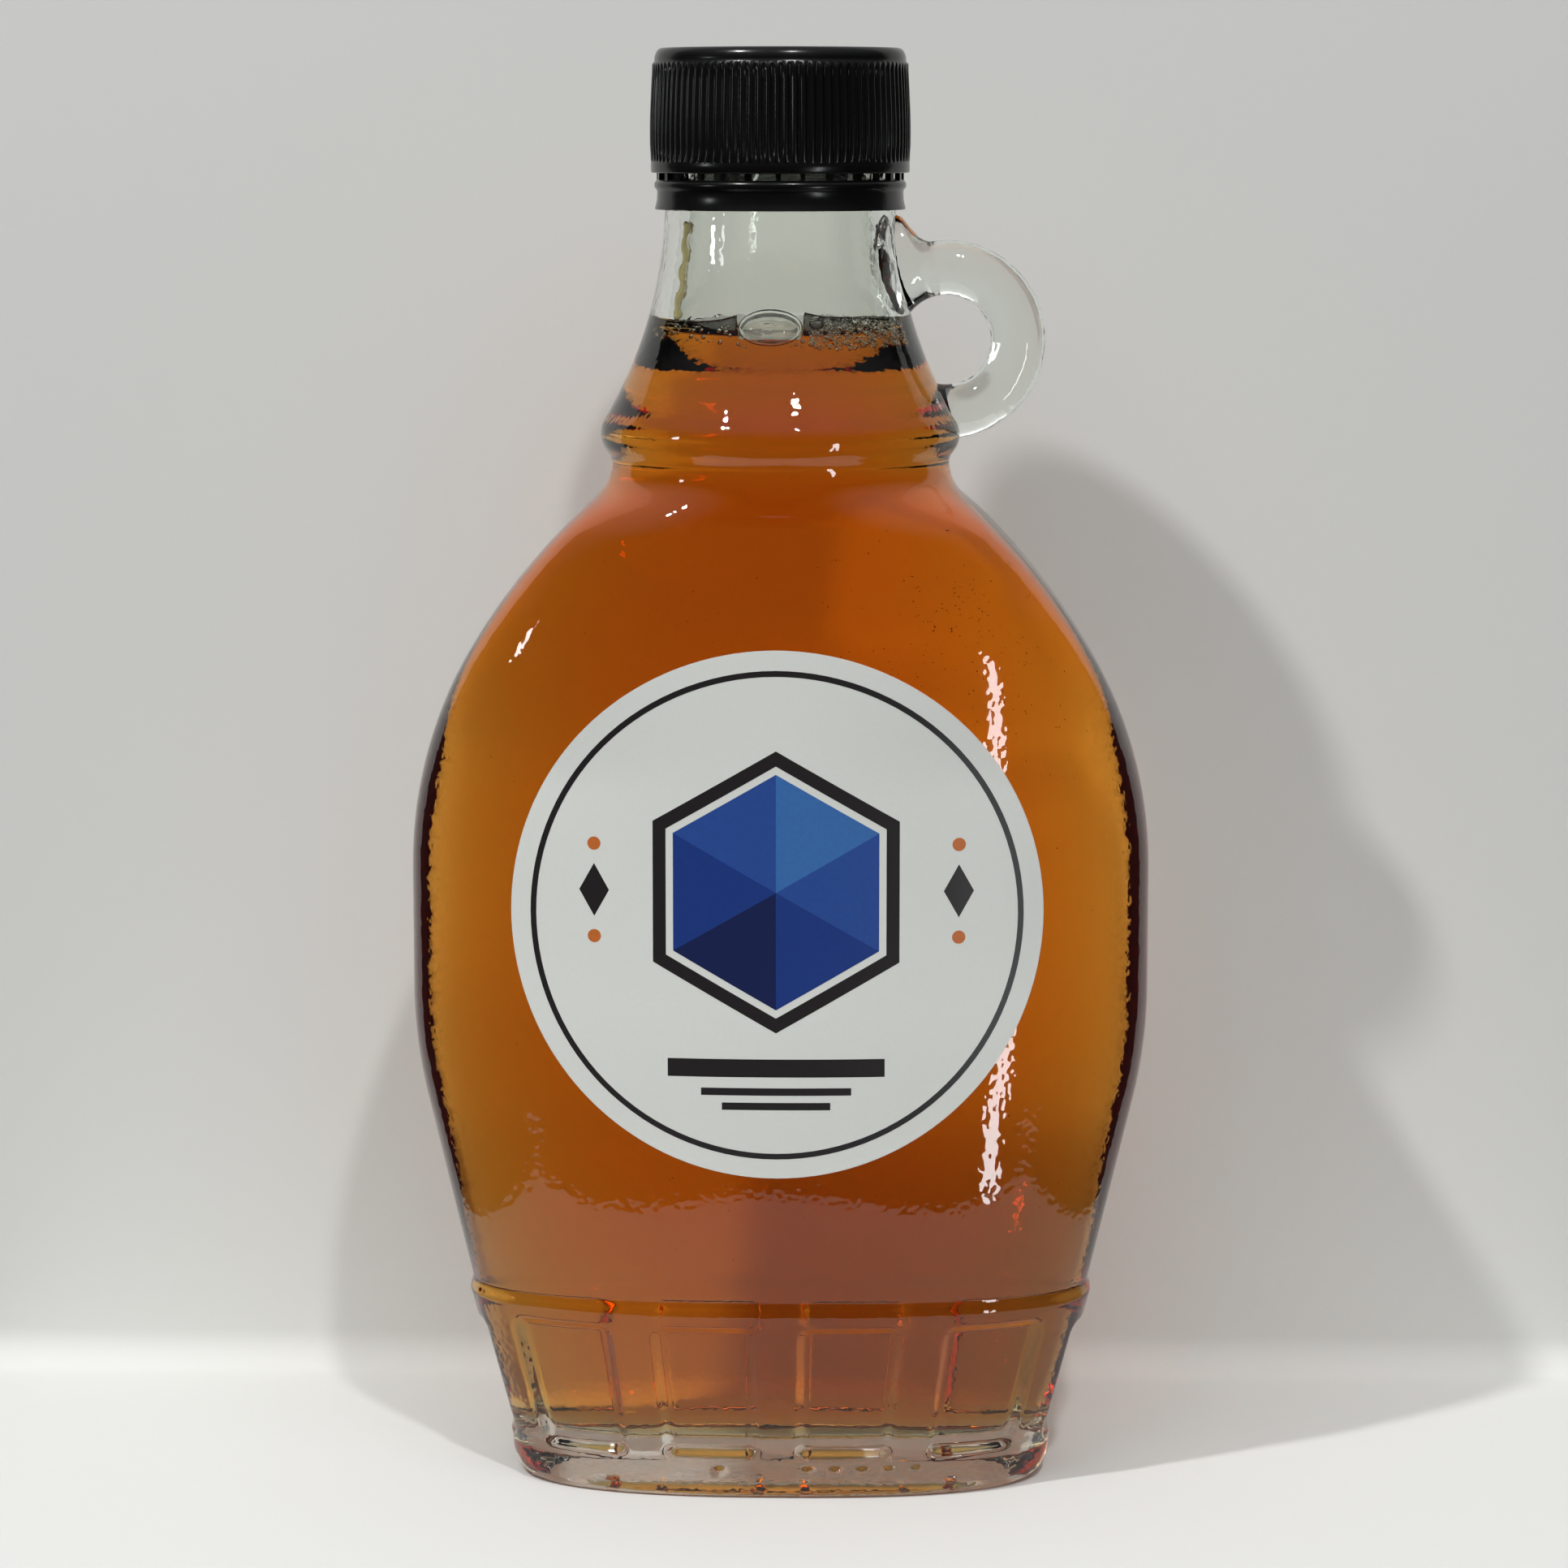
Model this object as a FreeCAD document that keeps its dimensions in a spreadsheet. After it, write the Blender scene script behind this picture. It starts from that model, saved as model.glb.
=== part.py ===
import FreeCAD, Part

import math
import os

import Sketcher
from FreeCAD import Placement, Rotation, Vector

# A handled glass flask of maple syrup: an oval body on a panelled base, a flared round neck with a ring
# handle on its +X side, a ribbed screw cap with a tamper band, a round paper label on the front (-Y) face,
# and the syrup inside. Millimetres; +Z up; the origin is under the middle of the base.

doc = FreeCAD.newDocument("SyrupBottle")
sheet = doc.addObject("Spreadsheet::Sheet", "Sizes")

SIZES = {
    # flask body, front outline
    "body_width": 90.72,
    "widest_low": 61.5,
    "widest_high": 76.2,
    "belly_arc": 60.0,
    "body_taper": 13.5,
    "shoulder_arc": 52.7,
    "shoulder_turn": 30.5,
    "collar_arc": 81.4,
    # flask body, depth
    "body_depth": 42.0,
    "waist_depth": 34.0,
    # base block
    "foot_width": 62.8,
    "foot_depth": 28.8,
    "heel_width": 67.1,
    "heel_depth": 31.8,
    "heel_height": 4.5,
    "block_taper": 15.1,
    "block_depth": 34.6,
    "block_height": 23.4,
    "waist_height": 25.0,
    "pushup_height": 1.2,
    "foot_ring": 4.0,
    # recessed panels round the base
    "panel_count_front": 4,
    "panel_width": 12.6,
    "end_panel_width": 13.4,
    "panel_pitch": 17.1,
    "panel_top": 22.0,
    "end_panel_top": 20.2,
    "panel_bottom": 5.6,
    "panel_recess": 0.85,
    # neck
    "groove_radius": 20.6,
    "groove_height": 126.1,
    "groove_foot": 122.25,
    "groove_lower_arc": 5.24,
    "groove_upper_arc": 1.2,
    "bead_radius": 21.9,
    "bead_height": 129.6,
    "bead_shoulder": 131.4,
    "bead_arc": 3.5,
    "neck_radius": 13.95,
    "neck_top": 158.0,
    "flare_arc": 51.5,
    # glass
    "wall": 2.9,
    "cavity_bottom": 6.6,
    "cavity_corner": 4.5,
    "finish_radius": 12.5,
    "finish_bore": 10.8,
    "lock_bead_radius": 13.6,
    "lock_bead_height": 160.2,
    "mouth_height": 174.4,
    # ring handle
    "ring_across": 20.15,
    "ring_height": 140.9,
    "ring_radius": 8.7,
    "ring_thick": 6.6,
    "ring_deep": 5.8,
    "web_top": 156.2,
    "web_arc": 4.6,
    "web_thick": 4.4,
    # syrup and label
    "fill_height": 142.0,
    "label_diameter": 64.0,
    "label_height": 73.2,
    "label_paper": 0.15,
    # cap
    "cap_bottom": 161.0,
    "cap_flange_top": 162.3,
    "cap_rib_top": 174.0,
    "cap_top": 175.9,
    "cap_radius": 15.75,
    "cap_rib_top_radius": 15.4,
    "cap_edge_radius": 14.2,
    "cap_bevel_arc": 2.2,
    "cap_bore": 13.85,
    "rib_count": 92,
    "rib_depth": 0.35,
    # tamper band
    "band_bottom": 156.6,
    "band_top": 160.2,
    "band_bead_radius": 15.25,
    "band_waist_radius": 14.9,
    "band_flare_radius": 15.15,
    "band_bore": 14.25,
    "bridge_count": 8,
    "bridge_width": 1.4,
}
for row, (name, number) in enumerate(SIZES.items(), start=1):
    sheet.set(f"A{row}", name)
    sheet.set(f"B{row}", str(number))
    sheet.setAlias(f"B{row}", name)
doc.recompute()


def size(name):
    """A driving dimension, read from the sheet."""
    return float(sheet.get(name))


def ease(value, low, high):
    """0 below low, 1 above high and a smooth rise between them."""
    part = min(max((value - low) / (high - low), 0.0), 1.0)
    return part * part * (3.0 - 2.0 * part)


# ---------------------------------------------------------------- the flask's form, as functions of height


def heel_curve(z, foot, heel):
    """Quarter of an ellipse from the foot's half size at the floor to the heel's."""
    down = 1.0 - z / size("heel_height")
    return foot + (heel - foot) * math.sqrt(max(1.0 - down * down, 0.0))


def shoulder_half_width(z):
    """Two tangent arcs that round the widest stretch over into the collar under the neck."""
    turn = math.radians(size("shoulder_turn"))
    radius = size("shoulder_arc")
    centre_x = size("body_width") / 2 - radius
    centre_z = size("widest_high")
    if z > centre_z + radius * math.sin(turn):
        step = size("collar_arc") - radius
        centre_x -= step * math.cos(turn)
        centre_z -= step * math.sin(turn)
        radius = size("collar_arc")
    return centre_x + math.sqrt(radius**2 - (z - centre_z) ** 2)


def neck_radius_at(z):
    """Groove, bead and flare of the round neck: arcs that run into each other."""
    groove_r = size("groove_radius")
    lower = size("groove_lower_arc")
    flare = size("flare_arc")
    bead = size("bead_arc")
    upper = size("groove_upper_arc")
    bead_x = size("bead_radius") - bead
    bead_z = size("bead_height")
    groove_x = groove_r + upper
    groove_z = bead_z - math.sqrt((bead + upper) ** 2 - (groove_x - bead_x) ** 2)
    joint_z = bead_z - (bead_z - groove_z) * bead / (bead + upper)
    if z < size("groove_height"):
        return groove_r + lower - math.sqrt(max(lower**2 - (size("groove_height") - z) ** 2, 0.0))
    if z < joint_z:
        return groove_x - math.sqrt(upper**2 - max(z - groove_z, 0.0) ** 2)
    if z < size("bead_shoulder"):
        return bead_x + math.sqrt(bead**2 - (z - bead_z) ** 2)
    return size("neck_radius") + flare - math.sqrt(flare**2 - (size("neck_top") - z) ** 2)


def half_width(z):
    """Half the outer width of the glass at height z."""
    widest = size("body_width") / 2
    taper = math.radians(size("body_taper"))
    belly = size("belly_arc")
    belly_joint = size("widest_low") - belly * math.sin(taper)
    belly_x = widest - belly + belly * math.cos(taper)
    waist = belly_x - math.tan(taper) * (belly_joint - size("waist_height"))
    if z < size("heel_height"):
        return heel_curve(z, size("foot_width") / 2, size("heel_width") / 2)
    up_block = min(z, size("block_height")) - size("heel_height")
    block = size("heel_width") / 2 + math.tan(math.radians(size("block_taper"))) * up_block
    if z < size("waist_height"):
        return block + (waist - block) * ease(z, size("block_height"), size("waist_height"))
    if z < belly_joint:
        return waist + math.tan(taper) * (z - size("waist_height"))
    if z < size("widest_low"):
        return widest - belly + math.sqrt(belly**2 - (size("widest_low") - z) ** 2)
    if z < size("widest_high"):
        return widest
    if z < size("groove_foot"):
        return shoulder_half_width(z)
    return neck_radius_at(z)


def half_depth(z):
    """Half the outer depth of the glass at height z."""
    belly = size("body_depth") / 2
    waist = size("waist_depth") / 2
    block = size("block_depth") / 2
    heel = size("heel_depth") / 2
    if z < size("heel_height"):
        return heel_curve(z, size("foot_depth") / 2, heel)
    if z < size("block_height"):
        share = (z - size("heel_height")) / (size("block_height") - size("heel_height"))
        return heel + (block - heel) * share
    if z < size("waist_height"):
        return block + (waist - block) * ease(z, size("block_height"), size("waist_height"))
    if z < size("widest_low"):
        left = (size("widest_low") - z) / (size("widest_low") - size("waist_height"))
        return belly - (belly - waist) * left**2
    if z < size("groove_height"):
        return belly - (belly - size("groove_radius")) * ease(z, FACE_TURN[0], FACE_TURN[1])
    return neck_radius_at(z)


FACE_TURN = (117.0, 124.0)  # heights between which the faces draw in to the round collar
# (height, exponent across the width, exponent across the depth) of the oval: 2 and 2 is an ellipse, and a
# larger depth exponent gives a flatter face with a tighter edge
OVAL = (
    (0.0, 2.5, 2.5),
    (25.0, 2.6, 2.6),
    (48.0, 2.0, 2.4),
    (88.0, 2.0, 2.4),
    (112.0, 2.2, 3.0),
    (119.0, 2.3, 2.8),
    (125.0, 2.0, 2.0),
)


def exponents(z):
    """The oval's two exponents at height z, eased between the rows of OVAL."""
    for (low, *below), (high, *above) in zip(OVAL, OVAL[1:]):
        if z <= high:
            share = ease(z, low, high)
            return [b + (a - b) * share for b, a in zip(below, above)]
    return OVAL[-1][1:]


SECTION_POINTS = 32


def oval_point(z, inset, turn):
    """The point at an angle of turn round the oval at height z, set in by inset."""
    across, deep = exponents(z)
    cosine = math.cos(turn)
    sine = math.sin(turn)
    x = (half_width(z) - inset) * math.copysign(abs(cosine) ** (2 / across), cosine)
    y = (half_depth(z) - inset) * math.copysign(abs(sine) ** (2 / deep), sine)
    return Vector(x, y, z)


def oval(z, inset=0.0):
    """A closed smooth wire round the flask at height z; its seam is on the rib in the middle of the back."""
    turns = [math.pi * (0.5 + 2 * i / SECTION_POINTS) for i in range(SECTION_POINTS)]
    points = [oval_point(z, inset, turn) for turn in turns]
    curve = Part.BSplineCurve()
    even = [float(i) for i in range(SECTION_POINTS + 1)]
    curve.interpolate(Points=points, PeriodicFlag=True, Parameters=even)
    return Part.Wire([curve.toShape()])


def heights(*spans):
    """Section heights from (low, high, step) spans that follow each other."""
    found = [spans[0][0]]
    for low, high, step in spans:
        count = max(round((high - low) / step), 1)
        found += [low + (high - low) * i / count for i in range(1, count + 1)]
    return found


def loft(label, levels, inset):
    """A solid through the ovals at the given heights; inset is a function of height."""
    solid = doc.addObject("Part::Feature", label)
    solid.Label = label
    solid.Shape = Part.makeLoft([oval(z, inset(z)) for z in levels], True, False)
    return solid


FLASK_LEVELS = heights(
    (0.0, size("heel_height"), 0.9),
    (size("heel_height"), 21.0, 1.65),
    (21.0, 30.0, 0.9),
    (30.0, 33.0, 1.5),
    (33.0, 48.0, 2.5),
    (48.0, 108.0, 4.0),
    (108.0, 114.0, 3.0),
    (114.0, 120.0, 2.0),
    (120.0, 123.0, 1.5),
    (123.0, 134.0, 1.0),
    (134.0, 137.0, 1.5),
    (137.0, 143.0, 2.0),
    (143.0, size("neck_top"), 3.0),
)

# ---------------------------------------------------------------- glass: outer form, cavity and base


def flask_form():
    return loft("flask_form", FLASK_LEVELS, lambda z: 0.0)


def cavity_form():
    """The hollow: the outer form set in by the wall, with a rounded corner over the thick base."""
    low = size("cavity_bottom")
    corner = size("cavity_corner")

    def inset(z):
        up = min((z - low) / corner, 1.0)
        return size("wall") + corner * (1.0 - math.sqrt(max(1.0 - (1.0 - up) ** 2, 0.0)))

    levels = heights((low, low + corner, 0.5), (low + corner, 15.0, 0.8), (15.0, 33.0, 1.5))
    return loft("cavity_form", levels + [z for z in FLASK_LEVELS if z > 34.0], inset)


def along_base(distance, z):
    """Point and outward direction at a distance round the base from the middle of the front face."""
    steps = 720
    turn = -math.pi / 2
    here = oval_point(z, 0.0, turn)
    walked = 0.0
    while walked < distance:
        before = here
        turn += 2 * math.pi / steps
        here = oval_point(z, 0.0, turn)
        walked += (here - before).Length
    along = here - before
    return here, Vector(along.y, -along.x, 0).normalize()


def panel_cutter(label, place, out, lean, width, top):
    """A box whose inner face is one panel's floor; it leans with the wall."""
    reach = 6.0
    spin = Rotation(Vector(0, -1, 0), out) * Rotation(Vector(1, 0, 0), lean)
    box = doc.addObject("Part::Box", label)
    box.Width = reach
    box.setExpression("Length", f"Sizes.{width}")
    box.setExpression("Height", f"Sizes.{top} - Sizes.panel_bottom")
    tall = size(top) - size("panel_bottom")
    corner = spin.multVec(Vector(-size(width) / 2, size("panel_recess") - reach, -tall / 2))
    box.Placement = Placement(place + corner, spin)
    return box


def panel_cutters():
    """The recesses: two panels a quarter on the long faces, and one on each end."""
    boxes = []
    middle = (size("panel_bottom") + size("panel_top")) / 2
    face_lean = math.degrees(math.atan2(half_depth(20.0) - half_depth(8.0), 12.0))
    for sign_x in (1, -1):
        for sign_y in (1, -1):
            for i in range(int(size("panel_count_front")) // 2):
                place, out = along_base((i + 0.5) * size("panel_pitch"), middle)
                place = Vector(sign_x * place.x, sign_y * place.y, middle)
                out = Vector(sign_x * out.x, sign_y * out.y, 0)
                lean = face_lean + (size("block_taper") - face_lean) * abs(out.x) ** 2
                name = f"panel_{len(boxes)}"
                boxes.append(panel_cutter(name, place, out, lean, "panel_width", "panel_top"))
    middle = (size("panel_bottom") + size("end_panel_top")) / 2
    for sign_x in (1, -1):
        place = Vector(sign_x * half_width(middle), 0, middle)
        name = f"end_panel_{'right' if sign_x > 0 else 'left'}"
        out = Vector(sign_x, 0, 0)
        lean = size("block_taper")
        boxes.append(panel_cutter(name, place, out, lean, "end_panel_width", "end_panel_top"))
    return boxes


def pushup_form():
    """The shallow hollow under the base, inside the foot ring: a dish that starts below the floor."""
    height = size("pushup_height")
    rise = doc.addObject("Part::Feature", "pushup_form")
    rims = [(-0.5, 0.0), (0.0, 0.0), (height * 0.6, 1.2), (height, 4.0)]
    wires = []
    for z, more in rims:
        wire = oval(0.0, size("foot_ring") + more)
        wire.translate(Vector(0, 0, z))
        wires.append(wire)
    rise.Shape = Part.makeLoft(wires, True, True)
    return rise


# ---------------------------------------------------------------- sketch helpers


def origin_plane(body, role):
    return next(item for item in body.Origin.OriginFeatures if item.Role == role)


def new_body(label):
    body = doc.addObject("PartDesign::Body", label)
    body.Label = label
    return body


def new_sketch(body, name, role="XZ_Plane", lift=None):
    sketch = body.newObject("Sketcher::SketchObject", name)
    sketch.AttachmentSupport = (origin_plane(body, role), [""])
    sketch.MapMode = "FlatFace"
    if lift:
        sketch.setExpression("AttachmentOffset.Base.z", lift)
    return sketch


def number_of(sketch, expression):
    value = sketch.evalExpression(expression)
    return float(getattr(value, "Value", value))


def pin_point(sketch, edge, end, x, y):
    """Holds one end of an edge at x, y; each is an expression on the sheet, or None on that axis."""
    for kind, expression, axis in (("DistanceX", x, -2), ("DistanceY", y, -1)):
        if expression is None:
            sketch.addConstraint(Sketcher.Constraint("PointOnObject", edge, end, axis))
            continue
        held = Sketcher.Constraint(kind, -1, 1, edge, end, number_of(sketch, expression))
        index = sketch.addConstraint(held)
        sketch.setExpression(f"Constraints[{index}]", expression)


def arc_between(start, end, radius):
    """An arc from start to end; a positive radius turns left, a negative one right."""
    middle = (start + end) / 2
    chord = end - start
    height = math.sqrt(max(radius**2 - (chord.Length / 2) ** 2, 0.0))
    left = Vector(-chord.y, chord.x, 0).normalize()
    centre = middle + left * (height if radius > 0 else -height)
    first, last = (start, end) if radius > 0 else (end, start)
    angles = [math.atan2(p.y - centre.y, p.x - centre.x) for p in (first, last)]
    return Part.ArcOfCircle(Part.Circle(centre, Vector(0, 0, 1), abs(radius)), *angles)


def outline(sketch, corners):
    """A closed outline. Each corner is (x, y) or (x, y, turn, radius): x, y and radius are expressions on
    the sheet, None is the axis, and turn (1 left, -1 right) bends the edge that leaves the corner."""
    places = [Vector(*(number_of(sketch, e) if e else 0.0 for e in c[:2]), 0) for c in corners]
    ends = []
    for i, corner in enumerate(corners):
        start, end = places[i], places[(i + 1) % len(places)]
        if len(corner) == 2:
            edge = sketch.addGeometry(Part.LineSegment(start, end))
            ends.append((edge, 1, 2))
            continue
        turn, radius = corner[2:]
        arc = arc_between(start, end, turn * number_of(sketch, radius))
        edge = sketch.addGeometry(arc)
        index = sketch.addConstraint(Sketcher.Constraint("Radius", edge, arc.Radius))
        sketch.setExpression(f"Constraints[{index}]", radius)
        ends.append((edge, 1, 2) if turn > 0 else (edge, 2, 1))
    for i, (edge, first, last) in enumerate(ends):
        following, start, _ = ends[(i + 1) % len(ends)]
        sketch.addConstraint(Sketcher.Constraint("Coincident", edge, last, following, start))
    for corner, (edge, first, _) in zip(corners, ends):
        pin_point(sketch, edge, first, corner[0], corner[1])


def revolve(body, sketch, name):
    turned = body.newObject("PartDesign::Revolution", name)
    turned.Profile = sketch
    turned.ReferenceAxis = (sketch, ["V_Axis"])
    turned.Angle = 360.0
    body.Tip = turned


def repeat_round(body, feature, name, count):
    """Copies a feature round the body's vertical axis."""
    pattern = body.newObject("PartDesign::PolarPattern", name)
    pattern.Originals = [feature]
    pattern.Axis = (origin_plane(body, "Z_Axis"), [""])
    pattern.Angle = 360.0
    pattern.Occurrences = int(size(count))
    body.Tip = pattern
    doc.recompute()


# ---------------------------------------------------------------- mouth, handle and the whole bottle


def finish():
    """The mouth that the cap screws onto: a plain wall with a bead that the tamper band locks under."""
    body = new_body("finish")
    sketch = new_sketch(body, "finish_outline")
    outline(sketch, [
        ("Sizes.finish_bore", "Sizes.neck_top - 2"),
        ("Sizes.finish_radius", "Sizes.neck_top - 2"),
        ("Sizes.finish_radius", "Sizes.lock_bead_height - 1"),
        ("Sizes.lock_bead_radius", "Sizes.lock_bead_height"),
        ("Sizes.finish_radius", "Sizes.lock_bead_height + 0.6"),
        ("Sizes.finish_radius", "Sizes.mouth_height"),
        ("Sizes.finish_bore", "Sizes.mouth_height"),
    ])
    revolve(body, sketch, "finish_turned")
    return body


def handle_ring():
    """A ring of oval section in the XZ plane, turned about its own middle."""
    body = new_body("handle_ring")
    sketch = new_sketch(body, "ring_section", "XY_Plane")
    middle = Vector(size("ring_radius"), 0, 0)
    ellipse = Part.Ellipse(middle, size("ring_thick") / 2, size("ring_deep") / 2)
    sketch.addGeometry(ellipse)
    sketch.exposeInternalGeometry(0)
    sketch.addConstraint(Sketcher.Constraint("Horizontal", 1))
    pin_point(sketch, 0, 3, "Sizes.ring_radius", None)
    for line, across in ((1, "ring_thick"), (2, "ring_deep")):
        index = sketch.addConstraint(Sketcher.Constraint("Distance", line, size(across)))
        sketch.setExpression(f"Constraints[{index}]", f"Sizes.{across}")
    revolve(body, sketch, "ring_turned")
    body.Placement = Placement(Vector(size("ring_across"), 0, size("ring_height")), Rotation())
    return body


def handle_web():
    """The fillet of glass that runs from the ring's top up the neck."""
    body = new_body("handle_web")
    sketch = new_sketch(body, "web_outline")
    inner = "Sizes.neck_radius - 1"
    ring_top = "Sizes.ring_height + Sizes.ring_radius + Sizes.ring_thick / 2"
    outline(sketch, [
        (inner, "Sizes.ring_height + Sizes.ring_radius"),
        ("Sizes.ring_across", "Sizes.ring_height + Sizes.ring_radius"),
        ("Sizes.ring_across", f"{ring_top} - 0.1"),
        ("Sizes.neck_radius + 0.3 + Sizes.web_arc * 0.8", f"{ring_top} - 0.1", -1, "Sizes.web_arc"),
        ("Sizes.neck_radius + 0.3", "Sizes.web_top"),
        (inner, "Sizes.web_top"),
    ])
    pad = body.newObject("PartDesign::Pad", "web_pad")
    pad.Profile = sketch
    pad.Midplane = True
    pad.setExpression("Length", "Sizes.web_thick")
    body.Tip = pad
    return body


def bottle():
    """The one piece of glass."""
    solid_glass = doc.addObject("Part::MultiFuse", "solid_glass")
    solid_glass.Shapes = [flask_form(), finish(), handle_ring(), handle_web()]
    bore = doc.addObject("Part::Cylinder", "mouth_bore")
    bore.setExpression("Radius", "Sizes.finish_bore")
    bore.setExpression("Height", "Sizes.mouth_height - Sizes.neck_top + 4")
    bore.Placement = Placement(Vector(0, 0, size("neck_top") - 2), Rotation())
    hollows = doc.addObject("Part::MultiFuse", "hollows")
    hollows.Shapes = [doc.getObject("cavity_form"), bore]
    hollowed = doc.addObject("Part::Cut", "hollowed_glass")
    hollowed.Base = solid_glass
    hollowed.Tool = hollows
    recesses = doc.addObject("Part::MultiFuse", "recesses")
    recesses.Shapes = [*panel_cutters(), pushup_form()]
    whole = doc.addObject("Part::Cut", "bottle")
    whole.Base = hollowed
    whole.Tool = recesses
    return whole


# ---------------------------------------------------------------- syrup, label, cap and band


def syrup():
    """The hollow's contents up to the fill line."""
    span = 2 * size("body_width")
    below = doc.addObject("Part::Box", "fill_limit")
    below.Length = span
    below.Width = span
    below.setExpression("Height", "Sizes.fill_height")
    below.Placement = Placement(Vector(-span / 2, -span / 2, 0), Rotation())
    filling = doc.addObject("Part::Common", "syrup")
    filling.Base = doc.getObject("cavity_form")
    filling.Tool = below
    return filling


def label():
    """Round paper that lies on the front face: a thin sheet of the face's curve, punched out."""
    reach = size("label_diameter") / 2 + 2.0
    edge = 1.12 * size("label_diameter") / size("body_width")
    turns = [-math.pi / 2 + edge * (i / 10 - 1) for i in range(21)]
    strips = []
    for z in heights((size("label_height") - reach, size("label_height") + reach, 4.3)):
        back, front = ([oval_point(z, -lift, turn) for turn in turns] for lift in (0.0, size("label_paper")))
        curves = []
        for points in (back, front):
            curve = Part.BSplineCurve()
            curve.interpolate(Points=points, Parameters=[float(i) for i in range(len(points))])
            curves.append(curve.toShape())
        sides = [Part.makeLine(back[i], front[i]) for i in (0, -1)]
        strips.append(Part.Wire([curves[0], sides[1], curves[1], sides[0]]))
    sheet_of_paper = doc.addObject("Part::Feature", "label_sheet")
    sheet_of_paper.Shape = Part.makeLoft(strips, True, False)
    punch = doc.addObject("Part::Cylinder", "label_punch")
    punch.setExpression("Radius", "Sizes.label_diameter / 2")
    punch.setExpression("Height", "Sizes.body_depth")
    punch.Placement = Placement(Vector(0, 0, size("label_height")), Rotation(Vector(1, 0, 0), 90))
    paper = doc.addObject("Part::Common", "label")
    paper.Base = sheet_of_paper
    paper.Tool = punch
    return paper


def cap():
    """Screw cap: a turned cup with a bevelled top, then fine ribs pressed into its side."""
    body = new_body("cap")
    sketch = new_sketch(body, "cap_outline")
    outline(sketch, [
        (None, "Sizes.mouth_height"),
        ("Sizes.cap_bore", "Sizes.mouth_height"),
        ("Sizes.cap_bore", "Sizes.cap_bottom"),
        ("Sizes.cap_radius - 0.1", "Sizes.cap_bottom"),
        ("Sizes.cap_radius - 0.1", "Sizes.cap_flange_top"),
        ("Sizes.cap_radius", "Sizes.cap_flange_top + 3"),
        ("Sizes.cap_rib_top_radius", "Sizes.cap_rib_top"),
        ("Sizes.cap_rib_top_radius - 0.2", "Sizes.cap_rib_top", 1, "Sizes.cap_bevel_arc"),
        ("Sizes.cap_edge_radius", "Sizes.cap_top"),
        (None, "Sizes.cap_top"),
    ])
    revolve(body, sketch, "cap_turned")
    doc.recompute()
    notch = new_sketch(body, "rib_gap", "XY_Plane", "Sizes.cap_flange_top")
    pitch = "3.14159 * Sizes.cap_radius / Sizes.rib_count"
    deep = "Sizes.cap_rib_top_radius - Sizes.rib_depth"
    outline(notch, [
        (deep, None),
        ("Sizes.cap_radius + 0.5", None),
        ("Sizes.cap_radius + 0.5", f"{pitch} * 1.25"),
    ])
    gap = body.newObject("PartDesign::Pocket", "rib_gap_cut")
    gap.Profile = notch
    gap.Reversed = True
    gap.setExpression("Length", "Sizes.cap_rib_top - Sizes.cap_flange_top + 0.5")
    body.Tip = gap
    doc.recompute()
    repeat_round(body, gap, "ribs", "rib_count")
    return body


def tamper_band():
    """The ring left below the cap, with the little bridges that still join it to the cap's skirt."""
    body = new_body("tamper_band")
    sketch = new_sketch(body, "band_outline")
    outline(sketch, [
        ("Sizes.band_bore", "Sizes.band_bottom"),
        ("Sizes.band_flare_radius", "Sizes.band_bottom"),
        ("Sizes.band_waist_radius", "Sizes.band_bottom + 1.3"),
        ("Sizes.band_waist_radius", "Sizes.band_top - 1.2"),
        ("Sizes.band_bead_radius", "Sizes.band_top - 0.8"),
        ("Sizes.band_bead_radius - 0.2", "Sizes.band_top"),
        ("Sizes.band_bore", "Sizes.band_top"),
    ])
    revolve(body, sketch, "band_turned")
    doc.recompute()
    foot = new_sketch(body, "bridge_foot", "XY_Plane", "Sizes.band_top - 0.3")
    outline(foot, [
        ("Sizes.band_bore + 0.1", None),
        ("Sizes.band_waist_radius", None),
        ("Sizes.band_waist_radius", "Sizes.bridge_width"),
        ("Sizes.band_bore + 0.1", "Sizes.bridge_width"),
    ])
    bridge = body.newObject("PartDesign::Pad", "bridge")
    bridge.Profile = foot
    bridge.setExpression("Length", "Sizes.cap_bottom - Sizes.band_top + 0.3")
    body.Tip = bridge
    doc.recompute()
    repeat_round(body, bridge, "bridges", "bridge_count")
    return body


# ---------------------------------------------------------------- build, check and write

cavity_form()
PIECES = [bottle(), syrup(), label(), cap(), tamper_band()]
doc.recompute()

for item in doc.Objects:
    if "Invalid" in item.State or "Error" in item.State:
        raise RuntimeError(f"{item.Name}: {item.State}")

os.makedirs("parts", exist_ok=True)
for piece in PIECES:
    shape = piece.Shape
    if shape.isNull() or not shape.isValid() or not shape.Solids:
        raise RuntimeError(f"{piece.Label}: no valid solid")
    print(f"{piece.Label}: {len(shape.Solids)} solid, {shape.Volume / 1000:.2f} cm3, box {shape.BoundBox}")
    shape.exportStep(os.path.join("parts", f"{piece.Label}.step"))
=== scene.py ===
import math
import random

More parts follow.
